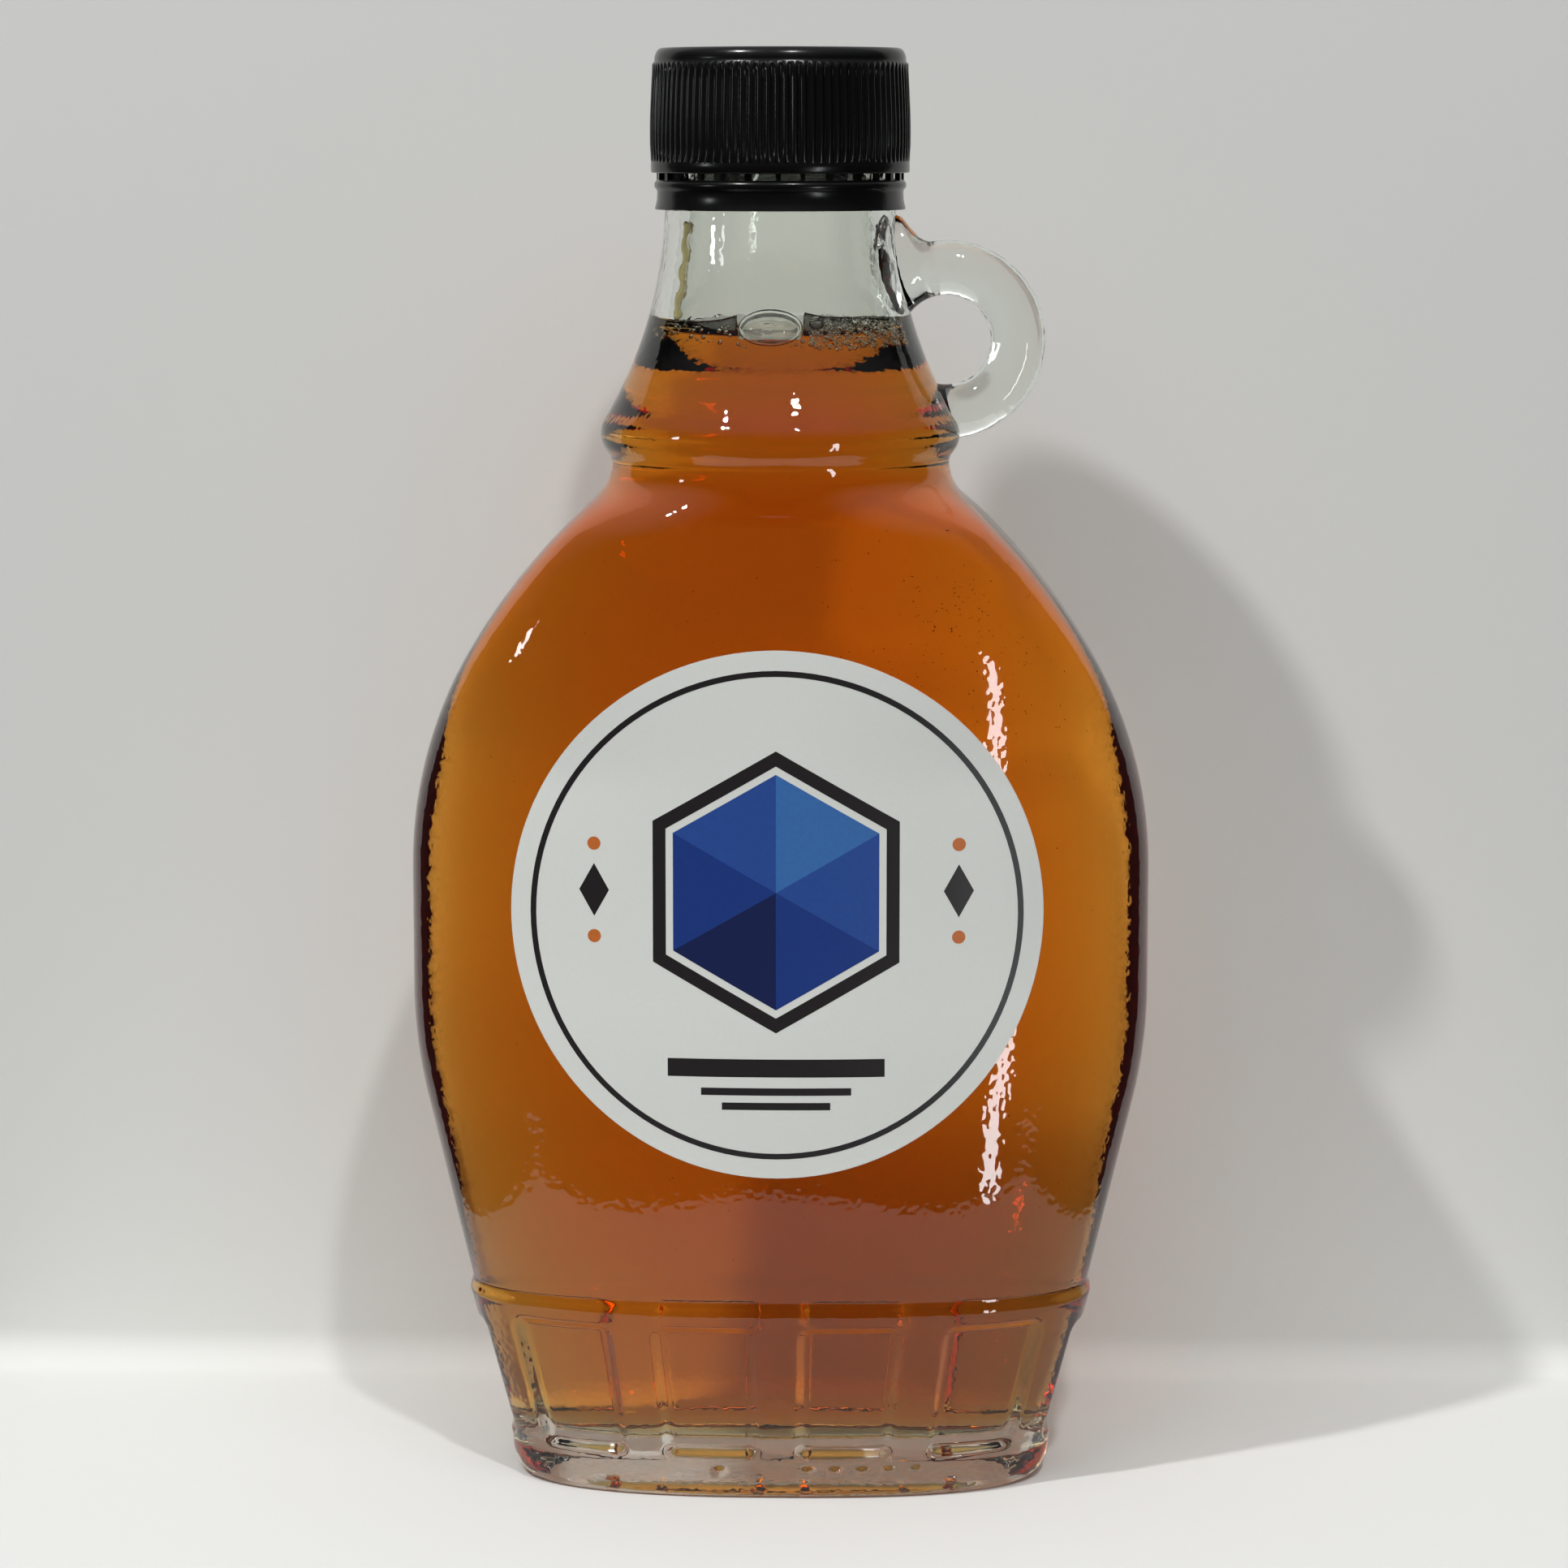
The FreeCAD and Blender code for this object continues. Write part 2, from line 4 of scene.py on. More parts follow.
import bmesh
import bpy
import numpy as np
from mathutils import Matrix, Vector


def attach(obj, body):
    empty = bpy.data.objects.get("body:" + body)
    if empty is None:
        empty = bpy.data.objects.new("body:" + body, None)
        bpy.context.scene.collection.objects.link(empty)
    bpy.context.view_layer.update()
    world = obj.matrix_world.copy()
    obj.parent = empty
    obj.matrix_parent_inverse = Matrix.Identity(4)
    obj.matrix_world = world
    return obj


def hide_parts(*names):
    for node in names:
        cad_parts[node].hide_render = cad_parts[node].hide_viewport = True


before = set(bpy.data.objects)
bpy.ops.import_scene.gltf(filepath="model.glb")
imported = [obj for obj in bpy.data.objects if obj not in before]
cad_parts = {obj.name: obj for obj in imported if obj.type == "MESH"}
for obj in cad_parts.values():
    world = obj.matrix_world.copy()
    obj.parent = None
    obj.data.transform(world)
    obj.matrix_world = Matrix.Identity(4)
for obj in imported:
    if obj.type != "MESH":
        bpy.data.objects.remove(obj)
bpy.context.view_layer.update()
random.seed(7)
MM = 0.001

# ---------------------------------------------------------------- sizes, millimetres
# They are those of the solids, apart from finer relief on the base and a squarer shoulder.

BODY_WIDTH = 90.72
BODY_DEPTH = 42.0
WIDEST = (61.5, 76.2)
BELLY_ARC = 60.0
BODY_TAPER = math.radians(13.5)
SHOULDER_ARC = 52.7
SHOULDER_TURN = math.radians(30.5)
COLLAR_ARC = 81.4
FACE_TOP = 121.0
FOOT = (62.8, 28.8)
HEEL = (67.1, 31.8)
HEEL_HEIGHT = 4.5
BLOCK_TAPER = math.radians(15.1)
BLOCK_DEPTH = 34.6
BLOCK_HEIGHT = 23.4
WAIST_DEPTH = 34.0
WAIST_HEIGHT = 25.0
PUSHUP = 1.2
GROOVE = (20.6, 126.1)
GROOVE_FOOT = 122.25
BEAD_SHOULDER = 131.4
GROOVE_LOWER_ARC = 5.24
GROOVE_UPPER_ARC = 1.2
BEAD = (21.9, 129.6)
BEAD_ARC = 3.5
NECK_RADIUS = 13.95
NECK_TOP = 158.0
FLARE_ARC = 51.5
WALL = 2.9
CAVITY_BOTTOM = 6.6
CAVITY_CORNER = 4.5
NECK_RISE = (121.0, 138.0)
FINISH_RADIUS = 12.5
FINISH_BORE = 10.8
MOUTH_HEIGHT = 174.4
PANEL_PITCH = 17.1
PANEL_WIDTH = 12.6
END_PANEL_WIDTH = 13.4
PANEL_SPAN = (5.2, 22.0)
END_PANEL_TOP = 20.2
PANEL_RECESS = 1.25
PANEL_CORNER = 1.6
PANEL_BEVEL = 1.25
MOULD_DOTS = (-7.6, 3.9, 7.5, 11.1, 14.6, 18.2)
DOT_HEIGHT = 3.6
DOT_PROUD = 0.4
DOT_SLOPE = (0.25, 0.85)
RING_CENTRE = (20.15, 140.9)
RING_RADIUS = 8.7
RING_THICK = 6.6
RING_DEEP = 5.8
# the flat middle of the syrup's surface; its edge climbs the glass to CONTACT
FILL_HEIGHT = 141.0
LABEL_RADIUS = 32.0
LABEL_HEIGHT = 73.2
LABEL_PAPER = 0.15
CAP_BOTTOM = 161.0
CAP_FLANGE_TOP = 162.3
CAP_RIB_TOP = 174.0
CAP_TOP = 175.9
CAP_RADIUS = 15.75
CAP_RIB_TOP_RADIUS = 15.4
RIB_COUNT = 92
RIB_DEPTH = 0.34
BAND_BOTTOM = 156.6
BAND_TOP = 160.2
CLIMB = 2.2
CONTACT = FILL_HEIGHT + CLIMB
BUBBLE_TURN = -3.5

GLASS_IOR = 1.5
SYRUP_IOR = 1.42
SYRUP_COLOR = (0.965, 0.69, 0.045)
SYRUP_DENSITY = 165.0

# (height, exponent across the width, exponent across the depth) of the flask's oval
OVAL = (
    (0.0, 2.5, 2.5),
    (25.0, 2.6, 2.6),
    (48.0, 2.0, 2.4),
    (88.0, 2.0, 2.4),
    (110.0, 2.4, 3.8),
    (118.5, 2.7, 4.2),
    (125.0, 2.0, 2.0),
)


def ease(value, low, high):
    """0 below low, 1 above high and a smooth rise between them."""
    part = min(max((value - low) / (high - low), 0.0), 1.0)
    return part * part * (3.0 - 2.0 * part)


# ---------------------------------------------------- the flask's form, as functions of height


def heel_curve(z, foot, heel):
    down = 1.0 - z / HEEL_HEIGHT
    return foot + (heel - foot) * math.sqrt(max(1.0 - down * down, 0.0))


def neck_radius_at(z):
    """Groove, bead and flare of the round neck."""
    groove_r, groove_z = GROOVE
    if z < groove_z:
        reach = math.sqrt(max(GROOVE_LOWER_ARC**2 - (groove_z - z) ** 2, 0.0))
        return groove_r + GROOVE_LOWER_ARC - reach
    bead_x = BEAD[0] - BEAD_ARC
    fillet_x = groove_r + GROOVE_UPPER_ARC
    fillet_z = BEAD[1] - math.sqrt((BEAD_ARC + GROOVE_UPPER_ARC) ** 2 - (fillet_x - bead_x) ** 2)
    joint_z = BEAD[1] - (BEAD[1] - fillet_z) * BEAD_ARC / (BEAD_ARC + GROOVE_UPPER_ARC)
    if z < joint_z:
        return fillet_x - math.sqrt(GROOVE_UPPER_ARC**2 - max(z - fillet_z, 0.0) ** 2)
    if z < BEAD_SHOULDER:
        return bead_x + math.sqrt(BEAD_ARC**2 - (z - BEAD[1]) ** 2)
    return NECK_RADIUS + FLARE_ARC - math.sqrt(FLARE_ARC**2 - (NECK_TOP - z) ** 2)


def half_width(z):
    """Half the outer width of the glass at height z."""
    widest = BODY_WIDTH / 2
    low_joint = WIDEST[0] - BELLY_ARC * math.sin(BODY_TAPER)
    low_x = widest - BELLY_ARC * (1 - math.cos(BODY_TAPER))
    waist = low_x - math.tan(BODY_TAPER) * (low_joint - WAIST_HEIGHT)
    if z < HEEL_HEIGHT:
        return heel_curve(z, FOOT[0] / 2, HEEL[0] / 2)
    block = HEEL[0] / 2 + math.tan(BLOCK_TAPER) * (min(z, BLOCK_HEIGHT) - HEEL_HEIGHT)
    if z < WAIST_HEIGHT:
        return block + (waist - block) * ease(z, BLOCK_HEIGHT, WAIST_HEIGHT)
    if z < low_joint:
        return waist + math.tan(BODY_TAPER) * (z - WAIST_HEIGHT)
    if z < WIDEST[0]:
        return widest - BELLY_ARC + math.sqrt(BELLY_ARC**2 - (WIDEST[0] - z) ** 2)
    if z < WIDEST[1]:
        return widest
    if z > GROOVE_FOOT:
        return neck_radius_at(z)
    radius = SHOULDER_ARC
    centre_x = widest - radius
    centre_z = WIDEST[1]
    if z > centre_z + radius * math.sin(SHOULDER_TURN):
        centre_x -= (COLLAR_ARC - radius) * math.cos(SHOULDER_TURN)
        centre_z -= (COLLAR_ARC - radius) * math.sin(SHOULDER_TURN)
        radius = COLLAR_ARC
    return centre_x + math.sqrt(radius**2 - (z - centre_z) ** 2)


def half_depth(z):
    """Half the outer depth of the glass at height z."""
    belly, waist, block, heel = BODY_DEPTH / 2, WAIST_DEPTH / 2, BLOCK_DEPTH / 2, HEEL[1] / 2
    if z < HEEL_HEIGHT:
        return heel_curve(z, FOOT[1] / 2, heel)
    if z < BLOCK_HEIGHT:
        return heel + (block - heel) * (z - HEEL_HEIGHT) / (BLOCK_HEIGHT - HEEL_HEIGHT)
    if z < WAIST_HEIGHT:
        return block + (waist - block) * ease(z, BLOCK_HEIGHT, WAIST_HEIGHT)
    if z < WIDEST[0]:
        left = (WIDEST[0] - z) / (WIDEST[0] - WAIST_HEIGHT)
        return belly - (belly - waist) * left**2
    if z < GROOVE[1]:
        return belly - (belly - GROOVE[0]) * ease(z, FACE_TOP - 4.0, FACE_TOP + 3.0)
    return neck_radius_at(z)


def exponents(z):
    for (low, *below), (high, *above) in zip(OVAL, OVAL[1:]):
        if z <= high:
            share = ease(z, low, high)
            return [b + (a - b) * share for b, a in zip(below, above)]
    return OVAL[-1][1:]


def face_y(x, z, lift=0.0):
    """The front face's y at x, z, standing lift proud of it."""
    across, deep = exponents(z)
    inside = max(1.0 - abs(x / (half_width(z) + lift)) ** across, 0.0)
    return -(half_depth(z) + lift) * inside ** (1 / deep)


DENSE_TURNS = np.linspace(-math.pi / 2, 3 * math.pi / 2, 1601)


def oval_ring(z, inset, columns):
    """Evenly spaced points round the flask at height z, from the front's middle, and its girth."""
    across, deep = exponents(z)
    cosine, sine = np.cos(DENSE_TURNS), np.sin(DENSE_TURNS)
    x = (half_width(z) - inset) * np.sign(cosine) * np.abs(cosine) ** (2 / across)
    y = (half_depth(z) - inset) * np.sign(sine) * np.abs(sine) ** (2 / deep)
    walked = np.concatenate([[0.0], np.cumsum(np.hypot(np.diff(x), np.diff(y)))])
    at = np.arange(columns) / columns * walked[-1]
    return np.stack([np.interp(at, walked, x), np.interp(at, walked, y)], 1), walked[-1]


def heights(*spans):
    """Heights from (low, high, step) spans that follow each other."""
    found = [spans[0][0]]
    for low, high, step in spans:
        count = max(round(abs(high - low) / step), 1)
        found += [low + (high - low) * i / count for i in range(1, count + 1)]
    return found


# ---------------------------------------------------------------- mesh helpers


def mesh_piece(name, points, faces, materials, smooth=True):
    """An object from points in millimetres that rides on the bottle."""
    mesh = bpy.data.meshes.new(name)
    mesh.from_pydata([tuple(c * MM for c in p) for p in points], [], faces)
    mesh.update()
    mesh.validate()
    piece = bpy.data.objects.new(name, mesh)
    bpy.context.scene.collection.objects.link(piece)
    for material in materials:
        mesh.materials.append(material)
    if smooth:
        mesh.polygons.foreach_set("use_smooth", [True] * len(mesh.polygons))
    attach(piece, "root")
    return piece


def tube_mesh(rings, close_start=True, close_end=True):
    """Points and quads of a skin through rings of equal length; a closed end gets a fan."""
    columns = len(rings[0])
    points = [tuple(p) for ring in rings for p in ring]
    faces = []
    for row in range(len(rings) - 1):
        for i in range(columns):
            j = (i + 1) % columns
            a, b = row * columns, (row + 1) * columns
            faces.append((a + i, a + j, b + j, b + i))
    for wanted, row, flip in ((close_start, 0, True), (close_end, len(rings) - 1, False)):
        if not wanted:
            continue
        hub = len(points)
        points.append(tuple(np.mean(np.array(rings[row]), axis=0)))
        for i in range(columns):
            a, b = row * columns + i, row * columns + (i + 1) % columns
            faces.append((b, a, hub) if flip else (a, b, hub))
    return points, faces


def circle_ring(radius, z, columns, start=-math.pi / 2):
    turns = start + 2 * math.pi * np.arange(columns) / columns
    return np.stack([radius * np.cos(turns), radius * np.sin(turns), np.full(columns, z)], 1)


def with_height(ring, z):
    return np.column_stack([ring, np.full(len(ring), z)])


# ---------------------------------------------------------------- materials


def new_material(name):
    material = bpy.data.materials.new(name)
    material.use_nodes = True
    nodes = material.node_tree.nodes
    return material, nodes, material.node_tree.links, nodes["Principled BSDF"]


def noise_bump(nodes, links, shader, scale, strength, distance, detail=2.0):
    """Fine relief from noise on the piece's own coordinates."""
    place = nodes.new("ShaderNodeTexCoord")
    noise = nodes.new("ShaderNodeTexNoise")
    noise.inputs["Scale"].default_value = scale
    noise.inputs["Detail"].default_value = detail
    bump = nodes.new("ShaderNodeBump")
    bump.inputs["Strength"].default_value = strength
    bump.inputs["Distance"].default_value = distance
    links.new(place.outputs["Object"], noise.inputs["Vector"])
    links.new(noise.outputs["Fac"], bump.inputs["Height"])
    links.new(bump.outputs["Normal"], shader.inputs["Normal"])
    return noise


def clear_material(name, color, ior):
    """A smooth clear dielectric; ior is relative to what lies on the outer side of the surface."""
    material, nodes, links, shader = new_material(name)
    shader.inputs["Base Color"].default_value = color + (1,)
    shader.inputs["Transmission Weight"].default_value = 1.0
    shader.inputs["Roughness"].default_value = 0.0
    shader.inputs["IOR"].default_value = ior
    return material, nodes, links, shader


def glass_materials():
    """Glass against air, and the same glass where the syrup wets it."""
    dry, nodes, links, shader = clear_material("flint_glass", (0.91, 0.94, 0.895), GLASS_IOR)
    noise_bump(nodes, links, shader, 1300.0, 0.05, 0.0004, 0.0)
    wet, *_ = clear_material("wetted_glass", (0.985, 0.985, 0.98), GLASS_IOR / SYRUP_IOR)
    return dry, wet


def syrup_materials():
    """The body of the syrup, whose sides touch glass and so bend no light, and its free surface."""
    body, nodes, links, shader = clear_material("maple_syrup", (1.0, 1.0, 1.0), 1.0)
    absorb = nodes.new("ShaderNodeVolumeAbsorption")
    absorb.inputs["Color"].default_value = SYRUP_COLOR + (1,)
    absorb.inputs["Density"].default_value = SYRUP_DENSITY
    links.new(absorb.outputs["Volume"], nodes["Material Output"].inputs["Volume"])
    surface, *_ = clear_material("syrup_surface", (0.99, 0.97, 0.93), SYRUP_IOR)
    return body, surface


def speck_material():
    material, nodes, links, shader = new_material("speck_brown")
    noise = noise_bump(nodes, links, shader, 4000.0, 0.2, 0.00002)
    tone = nodes.new("ShaderNodeValToRGB")
    tone.color_ramp.elements[0].color = (0.02, 0.006, 0.001, 1)
    tone.color_ramp.elements[1].color = (0.08, 0.03, 0.006, 1)
    links.new(noise.outputs["Fac"], tone.inputs["Fac"])
    links.new(tone.outputs["Color"], shader.inputs["Base Color"])
    shader.inputs["Roughness"].default_value = 0.35
    return material


def dried_material():
    material, nodes, links, shader = clear_material("dried_syrup", (0.93, 0.80, 0.42), 1.45)
    shader.inputs["Roughness"].default_value = 0.25
    shader.inputs["Transmission Weight"].default_value = 0.75
    noise_bump(nodes, links, shader, 900.0, 0.3, 0.0001)
    return material


def plastic_material():
    material, nodes, links, shader = new_material("black_plastic")
    shader.inputs["Base Color"].default_value = (0.004, 0.004, 0.004, 1)
    shader.inputs["Specular IOR Level"].default_value = 0.3
    noise = noise_bump(nodes, links, shader, 900.0, 0.12, 0.00005)
    spread = nodes.new("ShaderNodeMapRange")
    spread.inputs["To Min"].default_value = 0.16
    spread.inputs["To Max"].default_value = 0.26
    links.new(noise.outputs["Fac"], spread.inputs["Value"])
    links.new(spread.outputs["Result"], shader.inputs["Roughness"])
    return material


def paper_material():
    material, nodes, links, shader = new_material("label_paper")
    noise = noise_bump(nodes, links, shader, 2600.0, 0.1, 0.00003, 3.0)
    tone = nodes.new("ShaderNodeValToRGB")
    tone.color_ramp.elements[0].color = (0.785, 0.80, 0.76, 1)
    tone.color_ramp.elements[1].color = (0.825, 0.84, 0.80, 1)
    links.new(noise.outputs["Fac"], tone.inputs["Fac"])
    links.new(tone.outputs["Color"], shader.inputs["Base Color"])
    shader.inputs["Roughness"].default_value = 0.42
    return material


def ink_material(name, color):
    """Printed ink: its colour with a fine uneven density."""
    material, nodes, links, shader = new_material(f"ink_{name}")
    noise = noise_bump(nodes, links, shader, 1800.0, 0.08, 0.00002, 3.0)
    tone = nodes.new("ShaderNodeValToRGB")
    tone.color_ramp.elements[0].color = tuple(c * 0.88 for c in color) + (1,)
    tone.color_ramp.elements[1].color = tuple(min(c * 1.12, 1.0) for c in color) + (1,)
    links.new(noise.outputs["Fac"], tone.inputs["Fac"])
    links.new(tone.outputs["Color"], shader.inputs["Base Color"])
    shader.inputs["Roughness"].default_value = 0.38
    return material


# ---------------------------------------------------------------- glass

COLUMNS = 336


def panel_depth(along, girth, z):
    """How far the base wall is pressed in at a distance round from the front and a height z."""
    quarter = girth / 4
    folded = along % (girth / 2)
    from_face = min(folded, girth / 2 - folded)
    scale = girth / BASE_GIRTH
    deepest = 0.0
    windows = [(step * PANEL_PITCH * scale, PANEL_WIDTH, PANEL_SPAN[1]) for step in (0.5, 1.5)]
    windows.append((quarter, END_PANEL_WIDTH, END_PANEL_TOP))
    for centre, width, top in windows:
        half_w = width * scale / 2
        half_h = (top - PANEL_SPAN[0]) / 2
        dx = abs(from_face - centre) - (half_w - PANEL_CORNER)
        dz = abs(z - (top + PANEL_SPAN[0]) / 2) - (half_h - PANEL_CORNER)
        outside = math.hypot(max(dx, 0.0), max(dz, 0.0)) + min(max(dx, dz), 0.0) - PANEL_CORNER
        deepest = max(deepest, PANEL_RECESS * ease(-outside, -0.1, PANEL_BEVEL))
    for place in MOULD_DOTS:
        away = math.hypot((along + girth / 2) % girth - girth / 2 - place * scale, z - DOT_HEIGHT)
        deepest -= DOT_PROUD * (1.0 - ease(away, *DOT_SLOPE))
    return deepest


BASE_GIRTH = oval_ring(14.0, 0.0, 4)[1]


def outer_rings():
    """The outside from the foot to the top of the neck, with the base's panels pressed in."""
    rings = []
    levels = heights((0.35, 2.6, 0.5), (2.6, 4.6, 0.25), (4.6, 7.5, 0.35), (7.5, 18.0, 1.1),
                     (18.0, 23.4, 0.35), (23.4, 26.0, 0.3), (26.0, 30.0, 1.0), (30.0, 118.0, 1.8),
                     (118.0, 133.0, 0.6), (133.0, NECK_TOP, 1.7))
    for z in levels:
        ring, girth = oval_ring(z, 0.0, COLUMNS)
        if 2.0 < z < PANEL_SPAN[1] + 1:
            ahead = np.roll(ring, -1, 0) - np.roll(ring, 1, 0)
            out = np.stack([ahead[:, 1], -ahead[:, 0]], 1) / np.linalg.norm(ahead, axis=1)[:, None]
            press = [panel_depth(i / COLUMNS * girth, girth, z) for i in range(COLUMNS)]
            ring = ring - out * np.array(press)[:, None]
        rings.append(with_height(ring, z))
    return rings


def cavity_inset(z):
    """How far the cavity lies within the outside: the wall, and the round corner at the floor."""
    up = min((z - CAVITY_BOTTOM) / CAVITY_CORNER, 1.0)
    return WALL + CAVITY_CORNER * (1.0 - math.sqrt(max(1.0 - (1.0 - up) ** 2, 0.0)))


def inner_neck_radius(z):
    """The inside of the neck, which runs straight past the bead and the groove."""
    low, high = NECK_RISE
    if z > high:
        return neck_radius_at(z) - WALL
    share = (z - low) / (high - low)
    start, end = half_width(low) - WALL, neck_radius_at(high) - WALL
    start_slope = (half_width(low + 0.1) - half_width(low - 0.9)) * (high - low)
    end_slope = (neck_radius_at(high + 0.5) - neck_radius_at(high - 0.5)) * (high - low)
    cube, square = share**3, share**2
    return ((2 * cube - 3 * square + 1) * start + (cube - 2 * square + share) * start_slope
            + (3 * square - 2 * cube) * end + (cube - square) * end_slope)


def contact_rise(turns):
    """How much higher the syrup's edge stands on the glass, round the neck.

    It humps at the froth, and drops where the large bubble keeps it off the glass.
    """
    off_front = np.degrees(np.angle(np.exp(1j * (turns + math.pi / 2))))
    hump = 2.0 * np.exp(-(((off_front + 3.0) / 20.0) ** 2))
    froth = 0.6 * np.exp(-(((off_front - 40.0) / 30.0) ** 2))
    inside = np.clip((16.9 - np.abs(off_front - BUBBLE_TURN)) / 2.2, 0.0, 1.0)
    inside = inside * inside * (3.0 - 2.0 * inside)
    return (hump + froth) * (1.0 - inside) - (CLIMB - 0.25) * inside


def cavity_ring(z, into_wall, columns):
    """A ring of the inner wall; near the fill line its points ride up with the syrup's edge."""
    if z < NECK_RISE[0]:
        ring, _ = oval_ring(z, cavity_inset(z) - into_wall, columns)
        return with_height(ring, z)
    turns = -math.pi / 2 + 2 * math.pi * np.arange(columns) / columns
    near = max(1.0 - abs(z - CONTACT) / 7.0, 0.0)
    z_round = z + contact_rise(turns) * near
    radius = np.array([inner_neck_radius(up) for up in z_round]) + into_wall
    return np.stack([radius * np.cos(turns), radius * np.sin(turns), z_round], 1)


def wet_levels():
    """Heights from the cavity's floor to the syrup's contact line."""
    return heights((CAVITY_BOTTOM, 8.0, 0.35), (8.0, 12.0, 0.8), (12.0, 30.0, 2.2),
                   (30.0, 112.0, 2.0),
                   (112.0, 121.0, 1.5), (121.0, 138.0, 1.4), (138.0, CONTACT, 0.9))


def underside_rings():
    """From the foot's outer edge in over the foot ring to the pushed-up middle."""
    rings = []
    for inset, z in ((6.5, PUSHUP), (4.4, 0.8), (3.4, 0.15), (2.6, 0.0), (1.2, 0.0), (0.4, 0.08)):
        ring, _ = oval_ring(0.35, inset, COLUMNS)
        rings.append(with_height(ring, z))
    inner = rings[0]
    middle = []
    for share in (0.03, 0.35, 0.7):
        ring = inner * np.array([share, share, 1.0])
        ring[:, 2] = PUSHUP + 0.35 * (1 - share**2)
        middle.append(ring)
    return middle + rings


def handle_mesh():
    """The ring handle from root to root; inside the neck its skin stays within the wall."""
    rings = []
    first, last, steps = -118.0, 152.0, 110
    for i in range(steps + 1):
        turn = first + (last - first) * i / steps
        angle = math.radians(turn)
        web = 4.4 * max((turn - 97.0) / 14.0, 0.0) ** 3 if turn < 111.0 else 4.4
        low_web = 1.6 * max((-turn - 80.0) / 38.0, 0.0) ** 2
        inner = RING_RADIUS - RING_THICK / 2
        outer = RING_RADIUS + RING_THICK / 2 + web + low_web
        middle, half = (inner + outer) / 2, (outer - inner) / 2
        deep = RING_DEEP / 2 * (1.0 + 0.25 * ease(abs(turn), 95.0, 125.0))
        ring = []
        for k in range(40):
            around = 2 * math.pi * k / 40
            reach = middle + half * math.cos(around)
            x = RING_CENTRE[0] + reach * math.cos(angle)
            z = RING_CENTRE[1] + reach * math.sin(angle)
            y = deep * math.sin(around)
            within = neck_radius_at(z) - WALL / 2 if z < NECK_TOP else FINISH_BORE
            x = max(x, math.sqrt(max(within**2 - y**2, 0.0)))
            ring.append((x, y, min(z, BAND_BOTTOM - 0.2)))
        rings.append(np.array(ring))
    return tube_mesh(rings)


def bottle_glass(dry, wet):
    """One closed skin: underside, outside, mouth, then down the cavity, with the handle on."""
    rings = underside_rings() + outer_rings()
    finish_middle, lip = 166.0, 0.5
    finish = (
        (FINISH_RADIUS + 0.3, NECK_TOP), (FINISH_RADIUS, NECK_TOP + 0.4),
        (FINISH_RADIUS, finish_middle),
        (FINISH_RADIUS, MOUTH_HEIGHT - lip), (FINISH_RADIUS - lip, MOUTH_HEIGHT),
        (FINISH_BORE + lip, MOUTH_HEIGHT), (FINISH_BORE, MOUTH_HEIGHT - lip),
        (FINISH_BORE, finish_middle), (FINISH_BORE, NECK_TOP + 0.6),
    )
    rings += [circle_ring(radius, z, COLUMNS) for radius, z in finish]
    for z in reversed(heights((CONTACT, NECK_TOP, 1.2))):
        rings.append(cavity_ring(z, 0.0, COLUMNS))
    first_wet = len(rings) - 1
    for z in reversed(wet_levels()[:-1]):
        rings.append(cavity_ring(z, 0.0, COLUMNS))
    floor = rings[-1]
    rings.append(floor * np.array([0.4, 0.4, 1.0]) + np.array([0, 0, 0.25]))
    points, faces = tube_mesh(rings)
    glass = mesh_piece("bottle_glass", points, faces, [dry, wet])
    wetted = [0] * len(glass.data.polygons)
    wet_start, wet_end = first_wet * COLUMNS, (len(rings) - 1) * COLUMNS
    wetted[wet_start:wet_end] = [1] * (wet_end - wet_start)
    wetted[-COLUMNS:] = [1] * COLUMNS
    glass.data.polygons.foreach_set("material_index", wetted)
    points, faces = handle_mesh()
    handle = mesh_piece("handle_blank", points, faces, [dry])
    for piece in (glass, handle):
        edit = bmesh.new()
        edit.from_mesh(piece.data)
        bmesh.ops.recalc_face_normals(edit, faces=edit.faces)
        edit.to_mesh(piece.data)
        edit.free()
    join = glass.modifiers.new("join", "BOOLEAN")
    join.operation = "UNION"
    join.solver = "EXACT"
    join.object = handle
    bpy.context.view_layer.update()
    graph = bpy.context.evaluated_depsgraph_get()
    joined = bpy.data.meshes.new_from_object(glass.evaluated_get(graph))
    glass.modifiers.clear()
    glass.data = joined
    bpy.data.objects.remove(handle)
    joined.polygons.foreach_set("use_smooth", [True] * len(joined.polygons))
    joined.set_sharp_from_angle(angle=math.radians(50))
    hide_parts("bottle")
    return glass


# ---------------------------------------------------------------- syrup with its bubbles

INTO_WALL = 0.15
SYRUP_COLUMNS = 240
FROTH_COUNT = 420
FROTH_TRIES = 16000
SPECK_COUNT = 420


def surface_rings(drop):
    """Rings of the free surface, from within the wall to near the middle, lowered by drop."""
    edge = cavity_ring(CONTACT, 0.0, SYRUP_COLUMNS)
    climb = edge[:, 2] - FILL_HEIGHT
    wall_r = np.hypot(edge[:, 0], edge[:, 1])
    turns = np.arctan2(edge[:, 1], edge[:, 0])
    rings = []
    for inward in (-INTO_WALL, 0.0, 0.12, 0.3, 0.5, 0.8, 1.2, 1.8, 2.6, 4.0, 6.5, 9.5):
        radius = wall_r - inward
        z = FILL_HEIGHT + climb * np.exp(-max(inward, 0.0) / 0.7) - drop
        rings.append(np.stack([radius * np.cos(turns), radius * np.sin(turns), z], 1))
    return rings


